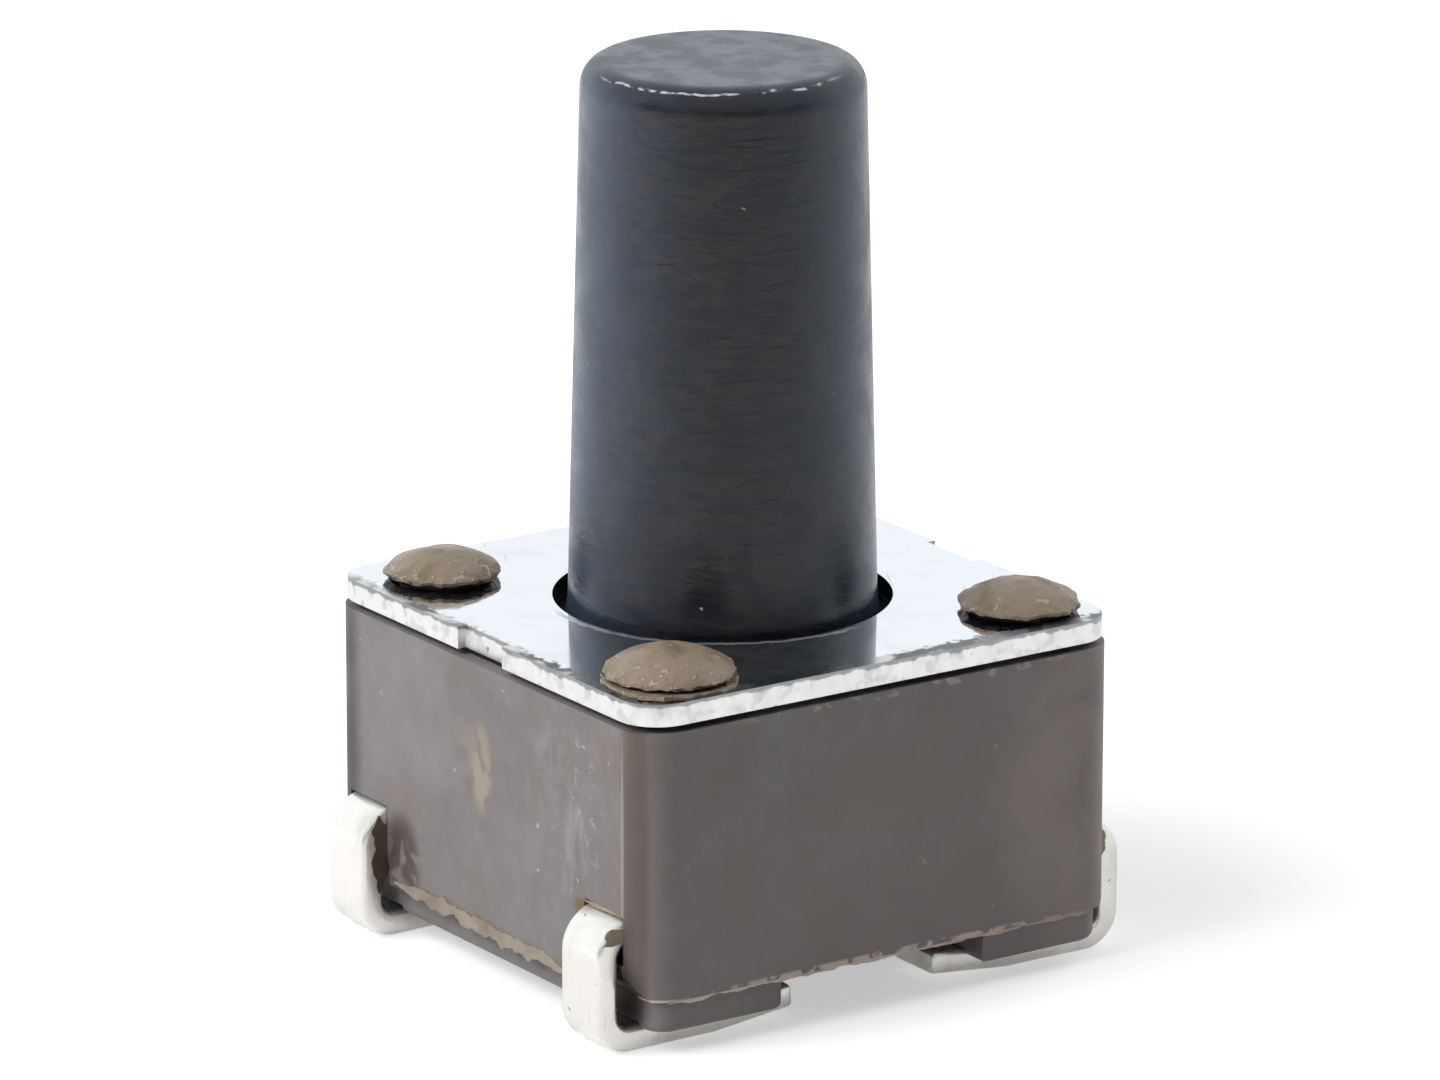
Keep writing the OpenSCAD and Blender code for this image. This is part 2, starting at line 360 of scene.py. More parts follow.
class Wiring:
    """Places and links the nodes of one material, group or world."""

    def __init__(self, tree: NodeTree) -> None:
        """Start on a node tree."""
        self.tree = tree

    def feed(self, socket: NodeSocket, value: Value) -> None:
        """Link a value to a socket, or set it there.

        Args:
            socket: The socket that takes it.
            value: Another node's output, or a plain number, vector or colour.
        """
        if isinstance(value, NodeSocket):
            self.tree.links.new(value, socket)
        elif isinstance(value, tuple) and socket.type == "RGBA":
            socket.default_value = (*value, 1.0)
        else:
            socket.default_value = value

    def add(self, kind: str, values: dict[str | int, Value] | None = None, **settings: object) -> Node:
        """Add a node.

        Args:
            kind: The node's type, without its ShaderNode prefix.
            values: What its inputs are given, by name or number.
            settings: Its settings.

        Returns:
            The node.
        """
        node = self.tree.nodes.new(f"ShaderNode{kind}")
        for key, value in settings.items():
            setattr(node, key, value)
        for key, value in (values or {}).items():
            self.feed(node.inputs[key], value)
        return node

    def effect(self, effect: "Effect", place: Value, **values: float) -> Node:
        """Place a shared effect over coordinates; a _ in the name of a value stands for a space."""
        named = {key.replace("_", " "): value for key, value in values.items()}
        return self.add("Group", {"Place": place, **named}, node_tree=effect.group())

    def mask(self, effect: "Effect", place: Value, **values: float) -> NodeSocket:
        """Place a shared effect that gives a mask."""
        return self.effect(effect, place, **values).outputs["Mask"]

    def math(self, operation: str, *values: Value) -> NodeSocket:
        """Calculate with numbers."""
        return self.add("Math", dict(enumerate(values)), operation=operation).outputs[0]

    def plus(self, first: Value, second: Value) -> NodeSocket:
        """Add two numbers."""
        return self.math("ADD", first, second)

    def minus(self, first: Value, second: Value) -> NodeSocket:
        """Take the second number from the first."""
        return self.math("SUBTRACT", first, second)

    def times(self, first: Value, second: Value) -> NodeSocket:
        """Multiply two numbers."""
        return self.math("MULTIPLY", first, second)

    def most(self, first: Value, second: Value) -> NodeSocket:
        """Give the greater of two numbers."""
        return self.math("MAXIMUM", first, second)

    def vector(self, operation: str, first: Value, second: Value) -> NodeSocket:
        """Calculate with vectors, to a vector."""
        return self.add("VectorMath", {0: first, 1: second}, operation=operation).outputs["Vector"]

    def measure(self, operation: str, first: Value, second: Value = (0.0, 0.0, 0.0)) -> NodeSocket:
        """Calculate with vectors, to a number such as a length."""
        return self.add("VectorMath", {0: first, 1: second}, operation=operation).outputs["Value"]

    def parts(self, place: Value) -> tuple[NodeSocket, ...]:
        """Split coordinates into X, Y and Z."""
        return tuple(self.add("SeparateXYZ", {0: place}).outputs)

    def mix(self, share: Value, first: Value, second: Value) -> NodeSocket:
        """Mix two colours by the share of the second."""
        return self.add("Mix", {0: share, 6: first, 7: second}, data_type="RGBA").outputs[2]

    def between(self, value: Value, low: Value, high: Value, start: float = 0.0, end: float = 1.0) -> NodeSocket:
        """Map the range from low to high smoothly onto start to end, and hold it there."""
        return self.add("MapRange", {0: value, 1: low, 2: high, 3: start, 4: end},
                        interpolation_type="SMOOTHSTEP").outputs[0]

    def place(self, turn: Point = (0, 0, 0), scale: float = 1 / MM) -> NodeSocket:
        """Give a piece's own coordinates, in millimetres unless scaled otherwise, turned by radians."""
        origin = self.add("TexCoord").outputs["Object"]
        return self.add("Mapping", {"Vector": origin, "Scale": (scale,) * 3, "Rotation": turn}).outputs[0]

    def stretched(self, place: Value, scale: Point) -> NodeSocket:
        """Scale coordinates, so that a texture on them runs in streaks along the axis with the least scale."""
        return self.add("Mapping", {"Vector": place, "Scale": scale}).outputs[0]

    def noise(self, place: Value, scale: float, detail: float = 3.0, swirl: float = 0.0) -> NodeSocket:
        """Give a noise, mostly between 0.3 and 0.7, with features to the millimetre, octaves and swirls."""
        return self.add("TexNoise", {"Vector": place, "Scale": scale, "Detail": detail,
                                     "Distortion": swirl}).outputs[0]


@dataclass(frozen=True)
class Effect:
    """A surface effect that several finishes share, as one node group; fill wires its inputs to its outputs."""

    name: str
    inputs: tuple[str, ...]
    outputs: tuple[str, ...]
    fill: Callable[[Wiring, Sockets], Sockets]

    def group(self) -> NodeTree:
        """Build the effect's node group, or give the one that is built already.

        Returns:
            The group. Its Place is a vector, and its other sockets are numbers.
        """
        if self.name in bpy.data.node_groups:
            return bpy.data.node_groups[self.name]
        tree = bpy.data.node_groups.new(self.name, "ShaderNodeTree")
        for side, names in (("INPUT", self.inputs), ("OUTPUT", self.outputs)):
            for name in names:
                kind = "NodeSocketVector" if name == "Place" else "NodeSocketFloat"
                tree.interface.new_socket(name=name, in_out=side, socket_type=kind)
        given, result = tree.nodes.new("NodeGroupInput"), tree.nodes.new("NodeGroupOutput")
        wiring = Wiring(tree)
        for name, value in self.fill(wiring, {key: given.outputs[key] for key in self.inputs}).items():
            wiring.feed(result.inputs[name], value)
        return tree


def fill_grain(wiring: Wiring, given: Sockets) -> Sockets:
    """Lay fine and coarse grain.

    Args:
        wiring: The group's wiring.
        given: Its inputs.

    Returns:
        A height, and the coarse part as clouds.
    """
    small = wiring.noise(given["Place"], given["Fine"], 2.0)
    large = wiring.noise(given["Place"], given["Coarse"])
    return {"Height": wiring.plus(wiring.times(small, given["Fine share"]), large),
            "Cloud": wiring.between(large, 0.35, 0.65)}


def fill_scratches(wiring: Wiring, given: Sockets) -> Sockets:
    """Lay short straight scratches along the streaks of the coordinates.

    Args:
        wiring: The group's wiring.
        given: Its inputs.

    Returns:
        A mask.
    """
    level, edge = given["Sparseness"], 0.05
    lines = wiring.noise(given["Place"], given["Scale"], 2.0)
    return {"Mask": wiring.between(lines, level, wiring.plus(level, edge))}


def fill_specks(wiring: Wiring, given: Sockets) -> Sockets:
    """Scatter small specks with uneven outlines.

    Args:
        wiring: The group's wiring.
        given: Its inputs.

    Returns:
        A mask.
    """
    place, scale = given["Place"], given["Scale"]
    finer, reach = wiring.times(scale, 4.0), wiring.math("DIVIDE", 0.4, scale)
    jitter = wiring.add("TexNoise", {"Vector": place, "Scale": finer, "Detail": 2.0}).outputs[1]
    shift = wiring.add("VectorMath", {0: jitter, "Scale": reach}, operation="SCALE").outputs[0]
    cells = wiring.add("TexVoronoi", {"Vector": wiring.vector("ADD", place, shift), "Scale": scale})
    near = wiring.math("LESS_THAN", cells.outputs["Distance"], given["Size"])
    tone = wiring.add("SeparateColor", {0: cells.outputs["Color"]}).outputs[0]
    return {"Mask": wiring.times(near, wiring.math("GREATER_THAN", tone, given["Sparseness"]))}


GRAIN = Effect("surface_grain", ("Place", "Fine", "Coarse", "Fine share"), ("Height", "Cloud"), fill_grain)
SCRATCHES = Effect("straight_scratches", ("Place", "Scale", "Sparseness"), ("Mask",), fill_scratches)
SPECKS = Effect("scattered_specks", ("Place", "Scale", "Size", "Sparseness"), ("Mask",), fill_specks)


@dataclass(frozen=True)
class Clouds:
    """A noise over the surface and the range of it that runs from the share start to the share end."""

    scale: float
    low: float
    high: float
    start: float = 0.0
    end: float = 1.0
    detail: float = 4.0
    swirl: float = 0.0
    streaks: Point = (1, 1, 1)

    def lay(self, wiring: Wiring, place: Value) -> NodeSocket:
        """Give the share at each place."""
        noise = wiring.noise(wiring.stretched(place, self.streaks), self.scale, self.detail, self.swirl)
        return wiring.between(noise, self.low, self.high, self.start, self.end)


@dataclass(frozen=True)
class Patch:
    """A patch of colour torn between two levels of a noise: a stain, scuff or scrape, and in some places painted shade
    or a painted highlight.
    """

    colour: Colour
    centre: Point
    reach: Point
    share: float
    scale: float
    torn: tuple[float, float]
    upright: float = 1.0

    def lay(self, wiring: Wiring, place: NodeSocket, under: NodeSocket) -> NodeSocket:
        """Lay the patch over a colour.

        Args:
            wiring: The material's wiring.
            place: Coordinates in millimetres.
            under: The colour under it.

        Returns:
            The colour with the patch.
        """
        share = wiring.vector("DIVIDE", wiring.vector("SUBTRACT", place, self.centre), self.reach)
        inside = wiring.between(wiring.measure("DOT_PRODUCT", share, share), 0.15, 1.0, 1.0, 0.0)
        torn = Clouds(self.scale, *self.torn, end=self.share, swirl=0.8, streaks=(1, 1, self.upright))
        return wiring.mix(wiring.times(inside, torn.lay(wiring, place)), under, self.colour)


@dataclass(frozen=True)
class Finish:
    """What every finish has, and how it becomes a material."""

    name: str
    colour: Colour
    roughness: float
    metallic: float = 0.0
    specular: float = 0.5
    depth: float = 0.004
    spread: tuple[float, float] = (0.05, 0.05)

    def material(self) -> Material:
        """Build the material: a Principled shader that the surface feeds.

        Returns:
            The material.
        """
        material = bpy.data.materials.new(self.name)
        material.use_nodes = True
        shader = material.node_tree.nodes["Principled BSDF"]
        shader.inputs["Metallic"].default_value = self.metallic
        shader.inputs["Specular IOR Level"].default_value = self.specular
        wiring = Wiring(material.node_tree)
        colour, rough, relief = self.surface(wiring, wiring.place())
        normal = wiring.add("Bump", {"Height": relief, "Distance": self.depth * MM, "Strength": 1.0}).outputs[0]
        for name, value in (("Base Color", colour), ("Roughness", rough), ("Normal", normal)):
            wiring.feed(shader.inputs[name], value)
        return material

    def surface(self, wiring: Wiring, place: NodeSocket) -> Surface:
        """Give the surface's colour, roughness and relief, where 1 is the finish's depth."""
        raise NotImplementedError

    def varied(self, wiring: Wiring, share: Value) -> NodeSocket:
        """Vary the roughness over its spread with a share."""
        less, more = self.spread
        return wiring.between(share, 0.0, 1.0, self.roughness - less, self.roughness + more)

    def tinted(self, red: float, green: float, blue: float) -> Colour:
        """Give the main colour with each part scaled."""
        return self.colour[0] * red, self.colour[1] * green, self.colour[2] * blue


@dataclass(frozen=True)
class MouldedResin(Finish):
    """Heat-resistant resin as it leaves the mould: clouds, scratches, specks, patches and painted shade on the seat
    under the cover.
    """

    specular: float = 0.4
    spread: tuple[float, float] = (0.06, 0.06)
    cloud_colour: Colour = (0.18, 0.162, 0.159)
    mark_colour: Colour = (0.4, 0.36, 0.33)
    # Painted shade on the seat and the gap under the cover.
    seat_shade_colour: Colour = (0.008, 0.006, 0.005)
    seat_z: float = 3.475
    swirls: Clouds = Clouds(0.55, 0.4, 0.64, detail=3.0, swirl=1.6)
    warmth: Clouds = Clouds(2.6, 0.48, 0.75, end=0.35, streaks=(1, 1, 0.35))
    mottling: Clouds = Clouds(5.0, 0.35, 0.65, end=0.3, detail=5.0)
    hair_share: float = 0.16
    speck_share: float = 0.9
    patches: tuple[Patch, ...] = ()

    def surface(self, wiring: Wiring, place: NodeSocket) -> Surface:
        """Lay clouds, marks and patches over the resin, and painted shade over the seat.

        Args:
            wiring: The material's wiring.
            place: Coordinates in millimetres.

        Returns:
            Its colour, roughness and relief.
        """
        grain = wiring.effect(GRAIN, place, Fine=22.0, Coarse=1.4, Fine_share=0.4)
        colour = wiring.mix(self.swirls.lay(wiring, place), self.colour, self.cloud_colour)
        colour = wiring.mix(self.warmth.lay(wiring, place), colour, self.tinted(0.86, 0.76, 0.7))
        colour = wiring.mix(self.mottling.lay(wiring, place), colour, self.tinted(0.72, 0.72, 0.72))
        leaning = wiring.stretched(wiring.place((0.35, 0.5, 0.2)), (9, 9, 0.5))
        level = wiring.stretched(wiring.place((-0.3, 0.2, 0.1)), (0.35, 0.35, 7))
        hair = wiring.most(wiring.mask(SCRATCHES, leaning, Scale=1.6, Sparseness=0.71),
                           wiring.mask(SCRATCHES, level, Scale=1.9, Sparseness=0.73))
        speck = wiring.mask(SPECKS, place, Scale=3.4, Size=0.085, Sparseness=0.84)
        marks = wiring.most(wiring.times(hair, self.hair_share), wiring.times(speck, self.speck_share))
        colour = wiring.mix(marks, colour, self.mark_colour)
        for patch in self.patches:
            colour = patch.lay(wiring, place, colour)
        # Painted shade: everything above seat_z, the seat and the gap under the cover, goes near-black as if in shadow.
        seat = wiring.math("GREATER_THAN", wiring.parts(place)[2], self.seat_z)
        colour = wiring.mix(seat, colour, self.seat_shade_colour)
        relief = wiring.minus(grain.outputs["Height"], marks)
        return colour, self.varied(wiring, grain.outputs["Cloud"]), relief


@dataclass(frozen=True)
class StakedResin(Finish):
    """Resin that was melted and pressed by the staking tool: warmer, with flow marks, painted glints near the rims and
    painted shade on its underside.
    """

    depth: float = 0.026
    spread: tuple[float, float] = (0.1, 0.1)
    flow_colour: Colour = (0.15, 0.125, 0.07)
    # Painted shade on the head's underside.
    underside_shade_colour: Colour = (0.012, 0.007, 0.004)
    # Colour of the painted glints near the rims.
    rim_glint_colour: Colour = (0.4, 0.34, 0.26)
    flow: Clouds = Clouds(1.7, 0.45, 0.7, detail=3.0, swirl=0.8)
    painted_glints: Clouds = Clouds(9.0, 0.58, 0.64, detail=3.0, swirl=0.8)
    post_at: Point = (2.18, 2.18, 0.0)
    rim_from: float = 0.3
    rim_to: float = 0.55

    def surface(self, wiring: Wiring, place: NodeSocket) -> Surface:
        """Lay flow marks, painted glints near the rims and the underside's painted shade over the resin.

        Args:
            wiring: The material's wiring.
            place: Coordinates in millimetres.

        Returns:
            Its colour, roughness and relief.
        """
        grain = wiring.effect(GRAIN, place, Fine=16.0, Coarse=3.4, Fine_share=0.22)
        colour = wiring.mix(self.flow.lay(wiring, place), self.colour, self.flow_colour)
        x, y, _ = (wiring.math("ABSOLUTE", part) for part in wiring.parts(place))
        away = wiring.measure("DISTANCE", wiring.add("CombineXYZ", {0: x, 1: y}).outputs[0], self.post_at)
        # Painted glints: pale clouds near the rim and scattered light specks, with a little relief.
        painted_glints = wiring.times(self.painted_glints.lay(wiring, place), wiring.between(away, self.rim_from, self.rim_to))
        speck = wiring.mask(SPECKS, place, Scale=8.0, Size=0.15, Sparseness=0.84)
        painted_glints = wiring.most(wiring.times(painted_glints, 0.75), wiring.times(speck, 0.6))
        colour = wiring.mix(painted_glints, colour, self.rim_glint_colour)
        # Painted shade: faces that turn downwards, under the head's lifted rim, go near-black.
        upward = wiring.parts(wiring.add("TexCoord").outputs["Normal"])[2]
        colour = wiring.mix(wiring.between(upward, -0.25, 0.05, 1.0, 0.0), colour, self.underside_shade_colour)
        relief = wiring.plus(grain.outputs["Height"], wiring.times(painted_glints, 0.6))
        return colour, self.varied(wiring, grain.outputs["Cloud"]), relief


@dataclass(frozen=True)
class PlungerResin(Finish):
    """Blue-black resin: fine short wrinkles across it, a painted blue sheen at its sides, dust and a painted highlight
    along the tip as a bright broken line.
    """

    depth: float = 0.0045
    spread: tuple[float, float] = (0.05, 0.07)
    cloud_colour: Colour = (0.0145, 0.0105, 0.0105)
    # Colour of the painted sheen at the plunger's sides.
    sheen_colour: Colour = (0.085, 0.122, 0.176)
    dust_colour: Colour = (0.3, 0.31, 0.34)
    # Colour of the painted highlight line at the tip.
    tip_highlight_colour: Colour = (0.5, 0.53, 0.6)
    line_z: float = 9.5
    line_waves: Clouds = Clouds(3.0, 0.3, 0.7, -0.015, 0.015)
    line_gaps: Clouds = Clouds(7.0, 0.4, 0.56, detail=3.0)
    mottling: Clouds = Clouds(1.6, 0.3, 0.7, 0.75, 1.0, swirl=0.6, streaks=(1, 1, 0.6))
    base_z: float = 3.8
    clear_z: float = 6.0
    base_sheen: float = 0.55
    tip_sheen: float = 0.45

    def surface(self, wiring: Wiring, place: NodeSocket) -> Surface:
        """Lay wrinkles, dust, the painted highlight line at the tip and the painted sheen over the resin.

        Args:
            wiring: The material's wiring.
            place: Coordinates in millimetres.

        Returns:
            Its colour, roughness and relief.
        """
        wrinkle = wiring.noise(wiring.stretched(place, (1, 1, 3.4)), 3.0, 4.0, 0.6)
        grain = wiring.effect(GRAIN, place, Fine=17.0, Coarse=2.4, Fine_share=0.3)
        colour = wiring.mix(wiring.between(wrinkle, 0.4, 0.66), self.colour, self.cloud_colour)
        speck = wiring.mask(SPECKS, place, Scale=2.2, Size=0.04, Sparseness=0.62)
        colour = wiring.mix(wiring.times(speck, 0.8), colour, self.dust_colour)
        height = wiring.parts(place)[2]
        facing = wiring.add("LayerWeight", {"Blend": 0.5}).outputs["Facing"]
        # Painted highlight: a bright, broken line round the tip's rounding at line_z, kept to the part facing the view.
        off = wiring.minus(wiring.plus(height, self.line_waves.lay(wiring, place)), self.line_z)
        line = wiring.times(wiring.between(wiring.math("ABSOLUTE", off), 0.004, 0.014, 1.0, 0.0),
                            self.line_gaps.lay(wiring, place))
        line = wiring.times(line, wiring.between(facing, 0.4, 0.62, 1.0, 0.0))
        colour = wiring.mix(line, colour, self.tip_highlight_colour)
        # Painted sheen: blue laid where the surface turns away from the view, weaker low down and at the tip.
        low = wiring.between(height, self.base_z, self.clear_z, self.base_sheen)
        tip = wiring.between(height, self.line_z - 0.2, self.line_z, 1.0, self.tip_sheen)
        sheen = wiring.times(wiring.times(wiring.times(facing, low), tip), self.mottling.lay(wiring, place))
        colour = wiring.mix(sheen, colour, self.sheen_colour)
        relief = wiring.plus(grain.outputs["Height"], wiring.times(wrinkle, 1.6))
        return colour, self.varied(wiring, grain.outputs["Cloud"]), relief


@dataclass(frozen=True)
class BrightSteel(Finish):
    """Bright rolled sheet: faint waves and rolling lines along X, a few scratches."""

    metallic: float = 1.0
    depth: float = 0.0012
    spread: tuple[float, float] = (0.0, 0.05)
    scuff_colour: Colour = (0.55, 0.56, 0.58)
    smears: Clouds = Clouds(1.7, 0.45, 0.7, swirl=0.8)

    def surface(self, wiring: Wiring, place: NodeSocket) -> Surface:
        """Lay smears and scratches over the sheet, and what the tools left.

        Args:
            wiring: The material's wiring.
            place: Coordinates in millimetres.

        Returns:
            Its colour, roughness and relief.
        """
        smear = self.smears.lay(wiring, place)
        scuffs = wiring.stretched(wiring.place((0, 0, 0.5)), (8, 0.5, 8))
        hair = wiring.mask(SCRATCHES, scuffs, Scale=1.7, Sparseness=0.7)
        tone = wiring.mix(smear, self.colour, self.tinted(0.93, 0.93, 0.93))
        dull, colour = self.worn(wiring, place, wiring.mix(wiring.times(hair, 0.5), tone, self.scuff_colour))
        wave = wiring.noise(place, 0.8, 2.0, 0.4)
        rolled = wiring.noise(wiring.stretched(place, (0.12, 1, 1)), 14.0)
        rough = wiring.most(self.varied(wiring, smear), wiring.times(dull, 0.5))
        return colour, rough, wiring.plus(wave, wiring.times(rolled, 0.3))

    def worn(self, wiring: Wiring, place: NodeSocket, colour: Value) -> tuple[Value, Value]:
        """Give how dull the tools left each place, and its colour: nothing changes on plain sheet."""
        return 0.0, colour


@dataclass(frozen=True)
class StampedSteel(BrightSteel):
    """The cover's sheet: a burnished line before the hole, and a ragged, dull burr line where two borders roll over,
    its grey painted on as a dark reflection.
    """

    half: float = 2.98
    hole: float = 1.79
    rollover_reflection_colour: Colour = (0.12, 0.125, 0.13)
    ring_waves: Clouds = Clouds(5.0, 0.3, 0.7, -0.02, 0.02)
    line_waves: Clouds = Clouds(9.0, 0.3, 0.7, -0.05, 0.05, swirl=0.3)
    line_gaps: Clouds = Clouds(1.6, 0.42, 0.56, 0.35, 1.0)
    shift: float = 0.03

    def worn(self, wiring: Wiring, place: NodeSocket, colour: Value) -> tuple[Value, Value]:
        """Add the marks of the stamping tool, with the rolled borders' grey painted on as a dark reflection.

        Args:
            wiring: The material's wiring.
            place: Coordinates in millimetres.
            colour: The sheet's colour.

        Returns:
            The share by which places are dull, and the colour.
        """
        from_middle = wiring.measure("LENGTH", wiring.stretched(place, (1, 1, 0)))
        from_hole = wiring.plus(wiring.minus(from_middle, self.hole), self.ring_waves.lay(wiring, place))
        left, front, _ = (wiring.times(part, -1.0) for part in wiring.parts(place))
        ring = wiring.times(wiring.between(from_hole, 0.02, 0.04), wiring.between(from_hole, 0.085, 0.12, 1.0, 0.0))
        ring = wiring.times(ring, wiring.between(wiring.plus(front, left), 0.9, 1.7))
        # Painted reflection: the rolled left and front borders are greyed, standing for how their rounded edge
        # reflects; their extra dullness is the burr's own.
        border = wiring.most(wiring.minus(left, self.shift), wiring.plus(front, self.shift))
        inward = wiring.plus(wiring.minus(self.half, border), self.line_waves.lay(wiring, place))
        line = wiring.times(wiring.between(inward, 0.12, 0.19, 1.0, 0.0), self.line_gaps.lay(wiring, place))
        return wiring.most(ring, line), wiring.mix(wiring.times(line, 0.85), colour, self.rollover_reflection_colour)


@dataclass(frozen=True)
class ShearedSteel(Finish):
    """The stamped edge of the sheet: a bright cut with fine tears, a ragged dark band along its top that is partly burr
    and partly painted reflection, and painted shade in the bore.
    """

    metallic: float = 1.0
    top_z: float = 3.78
    burr: float = 0.12
    bore: float = 2.0
    bore_shade_colour: Colour = (0.02, 0.02, 0.021)
    # Colour of the band at the top of the cut: partly burr, partly painted reflection.
    burr_reflection_colour: Colour = (0.28, 0.28, 0.29)
    blot_colour: Colour = (0.66, 0.66, 0.66)

    def surface(self, wiring: Wiring, place: NodeSocket) -> Surface:
        """Lay tears, blots and burr nicks over the cut, with their band darkened as a painted reflection and the bore
        darkened as painted shade.

        Args:
            wiring: The material's wiring.
            place: Coordinates in millimetres.

        Returns:
            Its colour, roughness and relief.
        """
        tears = wiring.noise(wiring.stretched(place, (1, 1, 0.4)), 7.0, 4.0)
        ragged = wiring.noise(place, 6.0, 4.0)
        raised = wiring.times(wiring.minus(ragged, 0.5), self.burr)
        # Partly painted: the ragged band at the top of the cut is the burr, darkened as a painted reflection of the
        # rolled edge.
        burr_and_reflection_band = wiring.between(wiring.plus(wiring.parts(place)[2], raised), self.top_z - 0.055, self.top_z - 0.03)
        speck = wiring.mask(SPECKS, place, Scale=6.0, Size=0.2, Sparseness=0.84)
        dark = wiring.most(wiring.times(burr_and_reflection_band, 0.8), wiring.times(speck, 0.7))
        colour = wiring.mix(wiring.between(ragged, 0.5, 0.62, 0.0, 0.6), self.colour, self.blot_colour)
        colour = wiring.mix(dark, colour, self.burr_reflection_colour)
        # Painted shade: the hole's wall goes near-black, as it lies in shadow.
        from_middle = wiring.measure("LENGTH", wiring.stretched(place, (1, 1, 0)))
        colour = wiring.mix(wiring.math("LESS_THAN", from_middle, self.bore), colour, self.bore_shade_colour)
        rough = wiring.between(tears, 0.3, 0.7, self.roughness, self.roughness + 0.2)
        return colour, rough, wiring.plus(tears, ragged)


@dataclass(frozen=True)
class SilverPlating(Finish):
    """Silver-plated strip: satin, with soft smears, fine drawing lines and a little tarnish."""

    metallic: float = 0.78
    depth: float = 0.003
    spread: tuple[float, float] = (0.04, 0.08)
    tarnish_colour: Colour = (0.6, 0.58, 0.53)
    pit_colour: Colour = (0.25, 0.22, 0.18)
    smears: Clouds = Clouds(2.2, 0.48, 0.75, detail=3.0, swirl=0.5, streaks=(1, 1, 0.5))

    def surface(self, wiring: Wiring, place: NodeSocket) -> Surface:
        """Lay smears, drawing lines and pits over the silver.

        Args:
            wiring: The material's wiring.
            place: Coordinates in millimetres.

        Returns:
            Its colour, roughness and relief.
        """
        grain = wiring.effect(GRAIN, place, Fine=9.0, Coarse=1.8, Fine_share=0.08)
        drawn = wiring.mask(SCRATCHES, wiring.stretched(place, (8, 8, 0.5)), Scale=1.8, Sparseness=0.68)
        speck = wiring.mask(SPECKS, place, Scale=4.0, Size=0.07, Sparseness=0.75)
        dull = wiring.most(wiring.times(self.smears.lay(wiring, place), 0.5), wiring.times(drawn, 0.3))
        colour = wiring.mix(dull, self.colour, self.tarnish_colour)
        colour = wiring.mix(wiring.times(speck, 0.7), colour, self.pit_colour)
        return colour, self.varied(wiring, grain.outputs["Cloud"]), grain.outputs["Height"]


